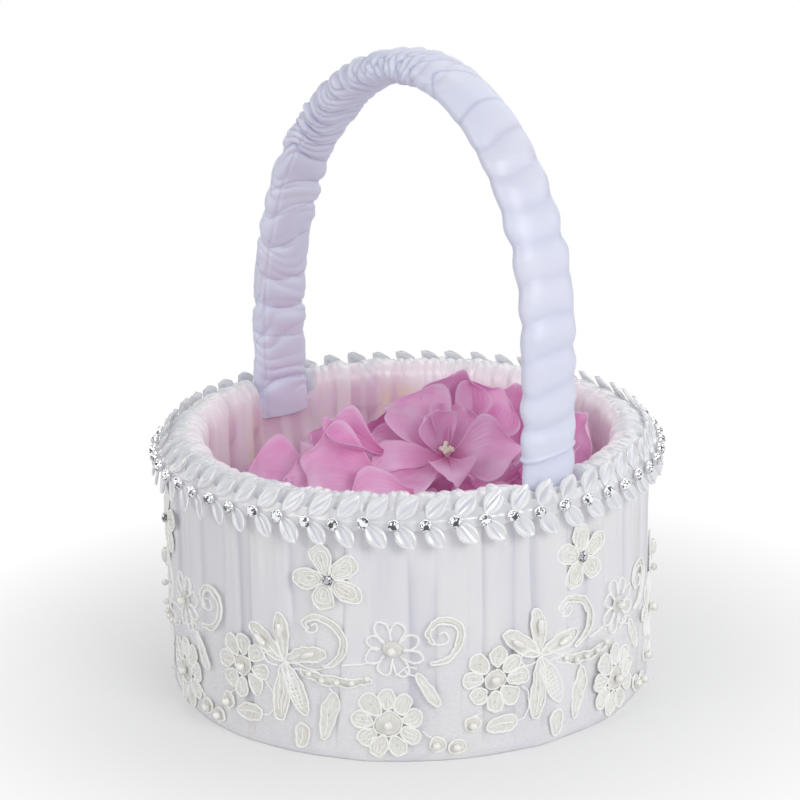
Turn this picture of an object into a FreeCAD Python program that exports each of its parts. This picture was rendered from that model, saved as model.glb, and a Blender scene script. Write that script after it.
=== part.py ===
import FreeCAD, Part
import math
import os
import re
import sys

import Sketcher
from FreeCAD import Placement, Rotation, Vector

# Flower girl basket: a stiff round wall on a board floor, a bent strip handle riveted inside the
# rim, padded and covered in satin, with a leaf and crystal trim and a beaded lace border.
# Frame: origin at the centre of the underside, +Z up, the handle spans the basket along X.
# Lengths are millimetres and angles are degrees.

SIZES = {
    # stiff core
    "wall_radius": 80.0,  # outside of the wall band
    "wall_thick": 1.2,
    "wall_foot": 1.6,  # lower edge of the wall band above the table
    "rim_height": 86.0,  # upper edge of the wall band and of both rim hoops
    "board_thick": 3.0,
    "hoop_thick": 1.7,
    "rim_hoop_high": 10.0,
    "base_hoop_high": 5.0,
    "play": 0.05,  # gap between pieces that are glued, nailed or sewn together
    # handle: two upright legs joined by a lopsided arch of two quarter ellipses
    "bow_thick": 2.0,
    "bow_wide": 18.0,
    "bow_foot": 60.0,
    "leg_offset": 74.4,  # centre of a leg from the basket's axis
    "crown_offset": 10.0,  # the highest point sits a little towards +X
    "crown_height": 215.5,
    "left_spring": 105.0,  # height where the -X leg starts to bend
    "right_spring": 135.0,  # height where the +X leg starts to bend
    "pad_reach": 3.7,  # half thickness of the wadding round the bow
    "pad_wide": 19.6,
    "sleeve_reach": 4.4,  # half thickness of the satin sleeve
    "sleeve_wide": 21.0,
    "sleeve_bottom": 87.0,  # above this the sleeve is full, below it is a flat tail
    "sleeve_tail": 76.5,
    "rivet_radius": 1.0,
    "rivet_height": 81.0,
    "rivet_spread": 5.0,
    # soft layers
    "wadding_inner": 80.6,
    "wadding_outer": 82.3,
    "wadding_top": 75.8,
    "cover_radius": 83.4,
    "cover_thick": 1.0,
    "cover_top": 82.0,
    "hem_inner": 77.0,
    "hem_thick": 0.8,
    "lining_radius": 73.0,
    "lining_thick": 1.0,
    "lining_top": 80.8,
    "floor_pad_thick": 3.0,
    # trim
    "tape_thick": 0.5,
    "tape_foot": 78.5,
    "tape_bend": 84.4,
    "tape_top": 88.6,
    "stone_count": 56,
    "stone_height": 84.0,
    "stone_radius": 1.4,
    "leaf_long": 10.2,
    "leaf_wide": 5.4,
    "leaf_thick": 0.9,
    "leaf_lean": 42.0,
    "leaf_gap": 1.8,  # from the stone's centre line to the leaf's pointed base
    # lace border
    "net_radius": 83.7,
    "net_thick": 0.2,
    "net_foot": 2.5,
    "net_top": 49.0,
    "motif_inner": 83.8,
    "motif_outer": 84.5,
    "cord_radius": 0.65,
    "pearl_radius": 1.3,
    "seed_radius": 0.95,
    "blossom_height": 63.0,
    "blossom_reach": 12.0,
    # silk petals
    "mound_top": 68.0,
    "mound_curve": 240.0,
}

FIRST_STONE = -41.1
REPEATS = 6  # lace repeats round the wall
FIRST_REPEAT = -56.0  # angle of the first repeat's middle
LEG_SIDES = (-1, 1)

doc = FreeCAD.newDocument("basket")
sheet = doc.addObject("Spreadsheet::Sheet", "Sizes")
for row, (alias, value) in enumerate(SIZES.items(), 1):
    sheet.set(f"A{row}", alias)
    sheet.set(f"B{row}", str(value))
    sheet.setAlias(f"B{row}", alias)
doc.recompute()

pieces = []


def mm(alias):
    """One driving dimension, read back from the sheet."""
    return float(sheet.get(alias))


def bound(text):
    """An expression on the sheet's cells, from plain arithmetic on their aliases."""
    return re.sub(r"[a-z_]+", lambda word: "Sizes." + word.group(), text)


def keep(obj, label):
    """Marks an object as a finished sub-part, whose label names its file."""
    obj.Label = label
    pieces.append(obj)
    return obj


# --- building blocks ------------------------------------------------------------------------


def new_sketch(body, name, role):
    plane = next(o for o in body.Origin.OriginFeatures if o.Role == role)
    sketch = body.newObject("Sketcher::SketchObject", name)
    sketch.AttachmentSupport = [(plane, "")]
    sketch.MapMode = "FlatFace"
    return sketch


def tube(name, low, high, outer, inner=None):
    """An upright tube, or a disc when it has no inner radius, padded from circles at height low."""
    body = doc.addObject("PartDesign::Body", name)
    sketch = new_sketch(body, name + "_circles", "XY_Plane")
    for side, radius in (("outer", outer), ("inner", inner)):
        if radius:
            start = 20.0 if side == "outer" else 10.0
            circle = sketch.addGeometry(Part.Circle(Vector(), Vector(0, 0, 1), start))
            sketch.addConstraint(Sketcher.Constraint("Coincident", circle, 3, -1, 1))
            size = sketch.addConstraint(Sketcher.Constraint("Radius", circle, start))
            sketch.renameConstraint(size, side)
            sketch.setExpression("Constraints." + side, bound(radius))
    pad = body.newObject("PartDesign::Pad", name + "_pad")
    pad.Profile = sketch
    pad.setExpression("Length", bound(f"({high}) - ({low})"))
    body.setExpression("Placement.Base.z", bound(low))
    return body


def turned(name, edges):
    """A closed outline in the XZ plane, turned about Z."""
    body = doc.addObject("PartDesign::Body", name)
    sketch = new_sketch(body, name + "_outline", "XZ_Plane")
    sketch.addGeometry(edges)
    turn = body.newObject("PartDesign::Revolution", name + "_turn")
    turn.Profile = sketch
    turn.ReferenceAxis = (sketch, ["V_Axis"])
    turn.Angle = 360.0
    return body


def block(name, corner, sizes, side=1):
    """A box bound to the sheet: corner and sizes are expressions; side -1 turns it to the -X leg."""
    box = doc.addObject("Part::Box", name)
    for prop, text in zip(("Length", "Width", "Height"), sizes):
        box.setExpression(prop, bound(text))
    if side < 0:
        box.Placement.Rotation = Rotation(Vector(0, 0, 1), 180)
    for axis, text in zip("xyz", corner):
        sign = "-1 * " if side < 0 and axis != "z" else ""
        box.setExpression("Placement.Base." + axis, bound(f"{sign}({text})"))
    return box


def cut(name, base, *tools):
    result = doc.addObject("Part::Cut", name)
    result.Base = base
    result.Tool = tools[0] if len(tools) == 1 else compound(name + "_tools", tools)
    return result


def fuse(name, *parts):
    result = doc.addObject("Part::MultiFuse", name)
    result.Shapes = list(parts)
    return result


def compound(name, parts):
    result = doc.addObject("Part::Compound", name)
    result.Links = list(parts)
    return result


def rod(name, radius, start, end, angle, height, across=0.0):
    """A radial rod at an angle about Z, from one distance from the axis to another."""
    cylinder = doc.addObject("Part::Cylinder", name)
    cylinder.setExpression("Radius", bound(radius))
    cylinder.Height = end - start
    turn = Placement(Vector(), Rotation(Vector(0, 0, 1), angle))
    out = Placement(Vector(start, across, height), Rotation(Vector(0, 1, 0), 90))
    cylinder.Placement = turn.multiply(out)
    return cylinder


def group(label, shapes):
    """Separate solids that share one node, given as finished shapes."""
    feature = doc.addObject("Part::Feature", label)
    feature.Shape = Part.makeCompound(shapes)
    feature.Placement = Placement()
    return keep(feature, label)


def turned_copy(shape, degrees):
    copy = shape.copy()
    copy.rotate(Vector(), Vector(0, 0, 1), degrees)
    return copy


def ring_of(shapes, count, first):
    """Copies of the shapes at even angles about Z."""
    step = 360.0 / count
    return [turned_copy(s, first + k * step) for k in range(count) for s in shapes]


# --- stiff core -----------------------------------------------------------------------------

TACKS = 8
TACK_RADIUS = 0.5
TACK_HEAD = 1.2
FIRST_TACK = 22.5


def tack_height():
    return mm("wall_foot") + mm("board_thick") + mm("base_hoop_high") / 2


def tack_holes(name):
    """Rods that clear the tacks, from inside the base hoop to outside the wall band."""
    start = mm("wall_radius") - 6.0
    end = mm("wall_radius") + 1.0
    rods = []
    for k in range(TACKS):
        angle = FIRST_TACK + k * 360.0 / TACKS
        rods.append(rod(f"{name}_{k}", f"{TACK_RADIUS} + play", start, end, angle, tack_height()))
    return compound(name, rods)


def rivet_holes(name, inner, outer):
    """Rods that clear the four handle rivets between two distances from the axis."""
    rods = []
    for side in LEG_SIDES:
        for across in (-mm("rivet_spread"), mm("rivet_spread")):
            angle = 0 if side > 0 else 180
            tag = f"{name}_{len(rods)}"
            radius = "rivet_radius + 2 * play"
            rods.append(rod(tag, radius, inner, outer, angle, mm("rivet_height"), across))
    return compound(name, rods)


def base_board():
    keep(tube("board", "wall_foot", "wall_foot + board_thick",
              "wall_radius - wall_thick - 2 * play"), "base_board")


def wall_band():
    blank = tube("band_blank", "wall_foot", "rim_height", "wall_radius",
                 "wall_radius - wall_thick")
    drilled = cut("band_drilled", blank, tack_holes("band_tack_holes"))
    inner = mm("wall_radius") - 4.0
    holes = rivet_holes("band_rivet_holes", inner, mm("wall_radius") + 3.0)
    keep(cut("band", drilled, holes), "wall_band")


def base_hoop():
    outer = "wall_radius - wall_thick - play"
    foot = "wall_foot + board_thick + play"
    blank = tube("base_hoop_blank", foot, foot + " + base_hoop_high", outer,
                 outer + " - hoop_thick")
    keep(cut("base_ring", blank, tack_holes("hoop_tack_holes")), "base_hoop")


def rim_hoops():
    foot = "rim_height - rim_hoop_high"
    outer = "wall_radius - wall_thick - play"
    inside = tube("inner_hoop_blank", foot, "rim_height", outer, outer + " - hoop_thick")
    holes = rivet_holes("inner_hoop_holes", mm("leg_offset"), mm("wall_radius") + 3.0)
    keep(cut("inner_hoop", inside, holes), "inner_rim_hoop")
    outside = tube("outer_hoop_blank", foot, "rim_height", "wall_radius + 1.6",
                   "wall_radius + play")
    holes = rivet_holes("outer_hoop_holes", mm("leg_offset"), mm("wall_radius") + 3.0)
    keep(cut("outer_hoop", outside, holes), "outer_rim_hoop")


def base_tacks():
    """Small nails through the wall band into the base hoop, heads outside."""
    tip = mm("wall_radius") - 2.9
    under_head = mm("wall_radius") + 0.02
    shank = Part.makeCylinder(TACK_RADIUS, under_head - tip, Vector(tip, 0, tack_height()),
                              Vector(1, 0, 0))
    head = Part.makeCylinder(TACK_HEAD, 0.5, Vector(under_head, 0, tack_height()), Vector(1, 0, 0))
    group("base_tacks", ring_of([shank.fuse(head)], TACKS, FIRST_TACK))


# --- handle ---------------------------------------------------------------------------------


def arch_edges(reach, foot):
    """Outline of the arched strip in the XZ plane, reach to each side of its middle line."""
    crown_x = mm("crown_offset")
    edges = []
    feet = {}
    for offset in (-reach, reach):
        for side, spring in zip(LEG_SIDES, (mm("left_spring"), mm("right_spring"))):
            leg_x = side * (mm("leg_offset") + offset)
            half_span = abs(leg_x - crown_x)
            rise = mm("crown_height") - spring + offset
            centre = Vector(crown_x, spring, 0)
            oval = Part.Ellipse(centre + Vector(0, rise, 0), centre - Vector(half_span, 0, 0), centre)
            quarter = (0, math.pi / 2) if side < 0 else (-math.pi / 2, 0)
            edges.append(Part.ArcOfEllipse(oval, *quarter))
            feet[side, offset] = Vector(leg_x, foot, 0)
            edges.append(Part.LineSegment(feet[side, offset], Vector(leg_x, spring, 0)))
    for side in LEG_SIDES:
        edges.append(Part.LineSegment(feet[side, -reach], feet[side, reach]))
    return edges


def arch(name, reach, wide, foot):
    """The arched strip as a solid, wide across Y and centred on the XZ plane."""
    body = doc.addObject("PartDesign::Body", name)
    sketch = new_sketch(body, name + "_outline", "XZ_Plane")
    sketch.addGeometry(arch_edges(reach, foot))
    pad = body.newObject("PartDesign::Pad", name + "_pad")
    pad.Profile = sketch
    pad.SideType = "Symmetric"
    pad.setExpression("Length", bound(wide))
    return body


def handle_bow():
    strip = arch("bow_strip", mm("bow_thick") / 2, "bow_wide", mm("bow_foot"))
    holes = rivet_holes("bow_holes", mm("leg_offset") - 3.0, mm("leg_offset") + 3.0)
    keep(cut("bow", strip, holes), "handle_bow")


def handle_rivets():
    """Two rivets a leg, through the bow, the wall band and both rim hoops."""
    inner_face = mm("leg_offset") - mm("bow_thick") / 2 - mm("play")
    outer_face = mm("wall_radius") + 1.65
    rivets = []
    for across in (-mm("rivet_spread"), mm("rivet_spread")):
        out = Vector(1, 0, 0)
        at = Vector(inner_face, across, mm("rivet_height"))
        shank = Part.makeCylinder(mm("rivet_radius"), outer_face - inner_face, at, out)
        head = Part.makeCylinder(2.0, 0.7, at - out * 0.7, out)
        tail = Part.makeCylinder(1.6, 0.45, at + out * (outer_face - inner_face), out)
        rivets.append(shank.multiFuse([head, tail]))
    group("handle_rivets", ring_of(rivets, 2, 0))


def handle_padding():
    foot = mm("sleeve_bottom") + 0.2
    outside = arch("wadding_arch", mm("pad_reach"), "pad_wide", foot)
    hollow = arch("wadding_slot", mm("bow_thick") / 2 + 0.1, "bow_wide + 0.2", foot - 1.0)
    keep(cut("bow_wadding", outside, hollow), "handle_padding")


def leg_boxes(name, near, far, wide, low, high):
    """One box at each leg, between two distances along X and two heights."""
    sizes = (f"({far}) - ({near})", wide, f"({high}) - ({low})")
    corner = (near, f"-0.5 * ({wide})", low)
    return [block(f"{name}_{side + 1}", corner, sizes, side) for side in LEG_SIDES]


def handle_sleeve():
    """A satin sleeve round the wadding, with a flat tail that is riveted down at each foot."""
    near = "leg_offset - sleeve_reach"
    full = arch("sleeve_arch", mm("sleeve_reach"), "sleeve_wide", mm("sleeve_bottom"))
    tails = leg_boxes("tail", near, "leg_offset + 1.75", "sleeve_wide", "sleeve_tail",
                      "sleeve_bottom")
    outside = fuse("sleeve_outside", full, *tails)
    hollow = arch("sleeve_hollow", mm("pad_reach") + 0.1, "pad_wide + 0.2", mm("sleeve_bottom") - 0.1)
    slots = leg_boxes("tail_slot", "leg_offset - 2.1", "leg_offset + 1.2", "bow_wide + 0.4",
                      "sleeve_tail - 1", "sleeve_bottom + 0.5")
    holes = rivet_holes("sleeve_holes", mm("leg_offset"), mm("leg_offset") + 4.0)
    keep(cut("sleeve", outside, hollow, *slots, holes), "handle_sleeve")


# --- soft layers ----------------------------------------------------------------------------


def wall_padding():
    keep(tube("wadding", "hem_thick + 0.2", "wadding_top", "wadding_outer", "wadding_inner"),
         "wall_padding")


def outer_cover():
    """Satin round the outside, turned under the foot in a narrow hem."""
    wall = tube("cover_wall", "0", "cover_top", "cover_radius", "cover_radius - cover_thick")
    hem = tube("cover_hem", "0", "hem_thick", "cover_radius", "hem_inner")
    keep(fuse("cover", wall, hem), "outer_cover")


def base_cover():
    keep(tube("base_sheet", "0", "wall_foot - 0.2", "hem_inner - 0.2"), "base_cover")


def wall_lining():
    """Gathered lining, notched where the handle's legs come down inside it."""
    foot = "wall_foot + board_thick + 2 * play"
    ring = tube("lining_ring", foot, "lining_top", "lining_radius", "lining_radius - lining_thick")
    notches = leg_boxes("lining_notch", "leg_offset - 10", "leg_offset + 5", "sleeve_wide + 2",
                        "sleeve_tail - 0.5", "lining_top + 1")
    keep(cut("lining", ring, *notches), "wall_lining")


def floor_pad():
    foot = "wall_foot + board_thick + 2 * play"
    radius = "lining_radius - lining_thick - 0.2"
    keep(tube("floor_disc", foot, foot + " + floor_pad_thick", radius), "floor_pad")


def rim_roll():
    """A padded satin roll over the rim: rounded outside, slotted below for the band and hoops."""
    slot_inner = mm("hem_inner") - 0.05
    slot_outer = mm("wall_radius") + 1.7
    slot_top = mm("rim_height") + 0.15
    foot = mm("lining_top") + 0.3
    shoulder = mm("cover_top") + 0.2

    def at(x, z):
        return Vector(x, z, 0)

    corners = [at(slot_outer, shoulder), at(83.2, shoulder), at(80.4, 87.8), at(74.5, 90.4),
               at(69.9, 84.0), at(70.6, foot), at(slot_inner, foot), at(slot_inner, slot_top),
               at(slot_outer, slot_top)]
    bulges = {1: at(82.8, 85.2), 2: at(77.8, 89.7), 3: at(70.9, 88.4)}
    edges = []
    for k, corner in enumerate(corners):
        after = corners[(k + 1) % len(corners)]
        if k in bulges:
            edges.append(Part.Arc(corner, bulges[k], after))
        else:
            edges.append(Part.LineSegment(corner, after))
    ring = turned("roll_ring", edges)
    gaps = leg_boxes("roll_gap", "leg_offset - 8", "leg_offset + sleeve_reach + 0.3",
                     "sleeve_wide + 1", "lining_top - 1", "rim_height + 6")
    pockets = leg_boxes("rivet_pocket", "leg_offset", "cover_radius - 1.1", "3 * rivet_spread",
                        "lining_top - 1", "rim_height + 0.3")
    keep(cut("roll", ring, *gaps, *pockets), "rim_roll")


# --- trim -----------------------------------------------------------------------------------

SLOPE = Vector(-0.56, 0, 0.828)  # the way the upper leaves lie over the roll's shoulder
SLOPE_OUT = Vector(0.828, 0, 0.56)
DROP = Vector(0.12, 0, -0.993)  # the way the lower leaves hang
DROP_OUT = Vector(0.993, 0, 0.12)


def trim_tape():
    """The narrow tape that carries the trim: upright below, folded in over the roll above."""
    inner = mm("cover_radius") + 0.5
    outer = inner + mm("tape_thick")
    bend = mm("tape_bend")
    run = (mm("tape_top") - bend) * SLOPE.x / SLOPE.z
    corners = [(inner, mm("tape_foot")), (outer, mm("tape_foot")), (outer, bend),
               (outer + run, mm("tape_top")), (outer + run - 0.6, mm("tape_top")),
               (inner, bend - 0.1)]
    points = [Vector(x, z, 0) for x, z in corners]
    edges = [Part.LineSegment(a, b) for a, b in zip(points, points[1:] + points[:1])]
    keep(turned("tape", edges), "trim_tape")


def leaf(root, run, out):
    """One almond leaf in the plane of run and Y, facing out and leaning towards +Y."""
    length = mm("leaf_long")
    tip = Vector(length, 0, 0)
    sides = [Part.Arc(Vector(), Vector(length * 0.45, s * mm("leaf_wide") / 2, 0), tip)
             for s in (-1, 1)]
    face = Part.Face(Part.Wire([sides[0].toShape(), sides[1].toShape().reversed()]))
    solid = face.extrude(Vector(0, 0, mm("leaf_thick")))
    lean = math.radians(mm("leaf_lean"))
    along = run * math.cos(lean) + Vector(0, math.sin(lean), 0)
    base = root + along * mm("leaf_gap")
    solid.Placement = Placement(base, Rotation(along, out.cross(along), out, "XZY"))
    return solid


def leaves():
    """Two rows of pressed satin leaves, one pair to every stone, tips all one way round."""
    count = int(mm("stone_count"))
    foot = mm("cover_radius") + 1.2
    upper = leaf(Vector(foot, 0, mm("tape_bend")), SLOPE, SLOPE_OUT)
    lower = leaf(Vector(foot, 0, mm("stone_height")), DROP, DROP_OUT)
    group("upper_leaves", ring_of([upper], count, FIRST_STONE))
    group("lower_leaves", ring_of([lower], count, FIRST_STONE))


CUP_WALL = 0.25
CUP_DEEP = 1.3


def stones():
    """Round crystals, each held in a silver cup."""
    count = int(mm("stone_count"))
    out = Vector(1, 0, 0)
    foot = Vector(mm("cover_radius") + 1.35, 0, mm("stone_height"))
    girdle = foot + out * CUP_DEEP
    cup = Part.makeCylinder(mm("stone_radius") + 0.3, CUP_DEEP, foot, out)
    well = Part.makeCylinder(mm("stone_radius") + 0.05, CUP_DEEP, foot + out * CUP_WALL, out)
    crown = Part.makeCone(mm("stone_radius"), mm("stone_radius") * 0.58, 0.8, girdle, out)
    point = Part.makeCone(0.3, mm("stone_radius"), 0.9, girdle - out * 0.9, out)
    group("stone_cups", ring_of([cup.cut(well)], count, FIRST_STONE))
    group("rim_stones", ring_of([crown.fuse(point)], count, FIRST_STONE))


# --- lace border ----------------------------------------------------------------------------
# A lace piece is laid out flat: u is the distance round the wall from the middle of its repeat
# and v is the height above the table.


def degrees_at(u):
    return math.degrees(u / mm("cover_radius"))


def laid(shape, u):
    """Six copies of a shape that was built at angle 0, one to a repeat, at distance u."""
    return ring_of([shape], REPEATS, FIRST_REPEAT + degrees_at(u))


def shell(inner, outer):
    """The thin cylinder wall that flat outlines are cut from."""
    full = Part.makeCylinder(outer, mm("rim_height"))
    return full.cut(Part.makeCylinder(inner, mm("rim_height")))


def on_wall(face, inner, outer):
    """Wraps a flat outline in the plane x = 0 onto the wall, as a solid of even thickness."""
    start = mm("wall_radius") - 20.0
    face = face.copy()
    face.translate(Vector(start, 0, 0))
    return face.extrude(Vector(40.0, 0, 0)).common(shell(inner, outer)).Solids[0]


def lobed(radius, valley, lobes, height, turn=90.0):
    """A flower outline with even round lobes, centred at a height on the wall."""
    steps = lobes * 6
    points = []
    for k in range(steps):
        t = 2 * math.pi * k / steps
        bulge = abs(math.cos(lobes * t / 2)) ** 0.7
        reach = valley + (radius - valley) * bulge
        angle = t + math.radians(turn)
        points.append(Vector(0, reach * math.cos(angle), height + reach * math.sin(angle)))
    curve = Part.BSplineCurve()
    curve.interpolate(points, PeriodicFlag=True)
    return Part.Face(Part.Wire(curve.toShape()))


def oval(length, width, angle, height, along=0.0):
    """An ellipse on the wall, its long axis at an angle from +u, its middle along that axis."""
    way = Vector(0, math.cos(math.radians(angle)), math.sin(math.radians(angle)))
    across = Vector(1, 0, 0).cross(way)
    centre = Vector(0, 0, height) + way * along
    ellipse = Part.Ellipse(centre + way * length / 2, centre + across * width / 2, centre)
    return Part.Face(Part.Wire(ellipse.toShape()))


def cord(points, u0):
    """A round cord swept through flat points (u, v) laid on the wall."""
    radius = mm("motif_inner") + mm("cord_radius") + 0.05
    bends = []
    for u, v in points:
        angle = (u - u0) / mm("cover_radius")
        bends.append(Vector(radius * math.cos(angle), radius * math.sin(angle), v))
    curve = Part.BSplineCurve()
    curve.interpolate(bends)
    start, ahead = curve.value(curve.FirstParameter), curve.tangent(curve.FirstParameter)[0]
    end = Part.Wire(Part.Circle(start, ahead, mm("cord_radius")).toShape())
    return Part.Wire(curve.toShape()).makePipeShell([end], True, False)


def pearl(radius, height):
    lift = mm("motif_outer") + 0.05 + radius
    return Part.makeSphere(radius, Vector(lift, 0, height))


ROUND_FLOWER = (-33.7, 27.5)
IRIS = (-17.0, 33.0)
SMALL_DAISY = (20.0, 40.5)
LARGE_DAISY = (18.6, 14.3)
IRIS_PETALS = ((144, 16.5, 5.4), (92, 16.5, 4.8), (21, 16.0, 5.0), (-70, 19.0, 5.4), (-92, 21.5, 5.4))
SCROLLS = (
    ((-7.5, 45.3), (-9.0, 47.6), (-5.5, 49.6), (0.0, 48.3), (4.4, 43.5), (4.2, 38.0), (1.0, 34.0),
     (-3.0, 32.6)),
    ((34.0, 42.0), (32.0, 45.8), (34.5, 49.2), (39.5, 49.4), (42.6, 45.6), (41.6, 40.5),
     (38.0, 36.5), (32.6, 35.2)),
)
VINE = ((-11.2, 30.3), (-5.0, 28.7), (2.0, 28.0), (8.0, 28.4), (13.5, 29.6))
# leaves: middle u, middle v, length, width, angle of the long axis from +u
LACE_LEAVES = ((-1.2, 15.8, 17.5, 6.0, 76), (31.6, 26.0, 13.0, 4.6, -60), (-10.8, 7.6, 9.0, 6.0, 80),
               (-31.5, 11.4, 11.0, 7.0, 5))
LOOPS = ((34.3, 6.9), (40.8, 5.8), (-41.2, 12.7))
SEEDS = (-7.4, -2.6, 2.0, 7.0, 12.0)


def lace_net():
    keep(tube("net", "net_foot", "net_top", "net_radius", "net_radius - net_thick"), "lace_net")


def lace_flower(label, place, radius, valley, lobes):
    u, v = place
    flower = on_wall(lobed(radius, valley, lobes, v), mm("motif_inner"), mm("motif_outer"))
    group(label, laid(flower, u))


def lace_flowers():
    lace_flower("lace_large_daisies", LARGE_DAISY, 11.8, 6.0, 9)
    lace_flower("lace_small_daisies", SMALL_DAISY, 9.3, 4.0, 8)
    lace_flower("lace_round_flowers", ROUND_FLOWER, 10.8, 6.5, 8)


def lace_irises():
    """Long-petalled lace flowers: narrow ovals that meet in one middle."""
    u, v = IRIS
    petals = [oval(length, width, angle, v, length / 2 - 1.0)
              for angle, length, width in IRIS_PETALS]
    flat = petals[0].multiFuse(petals[1:]).removeSplitter()
    prism = flat.Faces[0]
    for face in flat.Faces[1:]:
        prism = prism.fuse(face)
    group("lace_irises", laid(on_wall(prism, mm("motif_inner"), mm("motif_outer")), u))


def lace_leaves():
    shapes = []
    for u, v, length, width, angle in LACE_LEAVES:
        flat = oval(length, width, angle, v)
        shapes += laid(on_wall(flat, mm("motif_inner"), mm("motif_outer")), u)
    group("lace_leaves", shapes)


def lace_cords():
    scrolls = []
    for points in SCROLLS:
        middle = sum(u for u, _ in points) / len(points)
        scrolls += laid(cord(points, middle), middle)
    group("lace_scrolls", scrolls)
    group("lace_vines", laid(cord(VINE, 0.0), 0.0))


def pearl_loops():
    """Small corded rings that each frame one pearl."""
    shapes = []
    for u, v in LOOPS:
        disc = Part.Face(Part.Wire(Part.Circle(Vector(0, 0, v), Vector(1, 0, 0), 2.9).toShape()))
        shapes += laid(on_wall(disc, mm("motif_inner"), mm("motif_outer")), u)
    group("pearl_loops", shapes)


def pearls():
    flower_pearls = []
    for u, v in (ROUND_FLOWER, SMALL_DAISY, LARGE_DAISY):
        flower_pearls += laid(pearl(mm("pearl_radius"), v), u)
    group("flower_pearls", flower_pearls)
    loop_pearls = []
    for u, v in LOOPS:
        loop_pearls += laid(pearl(mm("pearl_radius") - 0.1, v), u)
    group("loop_pearls", loop_pearls)
    seeds = []
    lift = mm("motif_inner") + 2 * mm("cord_radius") + 0.1 + mm("seed_radius")
    for u in SEEDS:
        height = 28.0 + 0.02 * (u - 2.0) ** 2
        seeds += laid(Part.makeSphere(mm("seed_radius"), Vector(lift, 0, height)), u)
    group("vine_pearls", seeds)


RICE_LONG = 5.0
RICE_WIDE = 2.1


def rice_grain():
    """A long bead along Y: a straight barrel with round ends."""
    radius = RICE_WIDE / 2
    half = RICE_LONG / 2 - radius
    bend = radius * math.sqrt(0.5)
    foot = Vector(0, -RICE_LONG / 2, 0)
    top = Vector(0, RICE_LONG / 2, 0)
    low_edge = Vector(radius, -half, 0)
    high_edge = Vector(radius, half, 0)
    outline = [
        Part.Arc(foot, Vector(bend, -half - bend, 0), low_edge).toShape(),
        Part.makeLine(low_edge, high_edge),
        Part.Arc(high_edge, Vector(bend, half + bend, 0), top).toShape(),
        Part.makeLine(top, foot),
    ]
    return Part.Face(Part.Wire(outline)).revolve(Vector(), Vector(0, 1, 0), 360)


def rice_beads():
    """Long beads, one on each of the three upper petals of every lace iris."""
    u, v = IRIS
    beads = []
    for angle, length, _ in IRIS_PETALS[:3]:
        out = length * 0.62
        lean = math.radians(angle)
        lift = mm("motif_outer") + 0.1 + RICE_WIDE / 2
        grain = rice_grain()
        grain.rotate(Vector(), Vector(1, 0, 0), angle)
        grain.translate(Vector(lift, 0, v + out * math.sin(lean)))
        beads += laid(grain, u + out * math.cos(lean))
    group("rice_beads", beads)


def applique_blossoms():
    """Five-petalled lace blossoms sewn above the border, each with a domed stone."""
    height = mm("blossom_height")
    flat = lobed(mm("blossom_reach"), 5.0, 5, height, 100.0)
    blossom = on_wall(flat, mm("cover_radius") + 0.15, mm("cover_radius") + 1.15)
    group("applique_blossoms", laid(blossom, 0.0))
    foot = Vector(mm("cover_radius") + 1.25, 0, height)
    dome = Part.makeCone(1.75, 1.0, 1.1, foot, Vector(1, 0, 0))
    group("blossom_stones", laid(dome, 0.0))


# --- silk petals ----------------------------------------------------------------------------

PETAL_CURVE = 26.0
PETAL_THICK = 0.8
STAMENS = 9


def petal_bed():
    """The loose petals underneath, taken as one crowned soft mass with room for the legs."""
    foot = "wall_foot + board_thick + floor_pad_thick + 0.5"
    radius = "lining_radius - lining_thick - 3"
    disc = doc.addObject("Part::Cylinder", "mound_disc")
    disc.setExpression("Radius", bound(radius))
    disc.setExpression("Height", bound(f"mound_top - ({foot}) + 1"))
    disc.setExpression("Placement.Base.z", bound(foot))
    crown = doc.addObject("Part::Sphere", "mound_crown")
    crown.Placement.Rotation = Rotation(Vector(1, 0, 0), 90)
    crown.setExpression("Radius", bound("mound_curve"))
    crown.setExpression("Placement.Base.z", bound("mound_top - mound_curve"))
    mound = doc.addObject("Part::Common", "mound")
    mound.Base = disc
    mound.Tool = crown
    gaps = leg_boxes("mound_gap", "leg_offset - 23", "leg_offset", "sleeve_wide + 5", "0",
                     "rim_height")
    keep(cut("mound_notched", mound, *gaps), "petal_bed")


def dish(face, curve, thick):
    """A thin bowl, cut to a flat outline round Z, that opens upwards with its middle at 0."""
    middle = Vector(0, 0, curve)
    bowl = Part.makeSphere(curve, middle).cut(Part.makeSphere(curve - thick, middle))
    return face.extrude(Vector(0, 0, curve * 0.8)).common(bowl).Solids[0]


def flat_oval(length, width):
    ellipse = Part.Ellipse(Vector(length / 2, 0, -1), Vector(0, width / 2, -1), Vector(0, 0, -1))
    return Part.Face(Part.Wire(ellipse.toShape()))


# ring radius, count, first angle, middle height, tilt of the petals
PETAL_TIERS = ((44.0, 6, 30.0, 72.0, 14.0), (21.0, 3, 90.0, 88.0, 24.0))


def loose_petals():
    """Single curved silk petals lying over the mound in two tiers."""
    petals = []
    for ring, count, first, height, tilt in PETAL_TIERS:
        single = dish(flat_oval(28.0, 24.0), PETAL_CURVE, PETAL_THICK)
        single.rotate(Vector(), Vector(0, 1, 0), -tilt)
        single.translate(Vector(ring, 0, height))
        petals += ring_of([single], count, first)
    group("loose_petals", petals)


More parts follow.
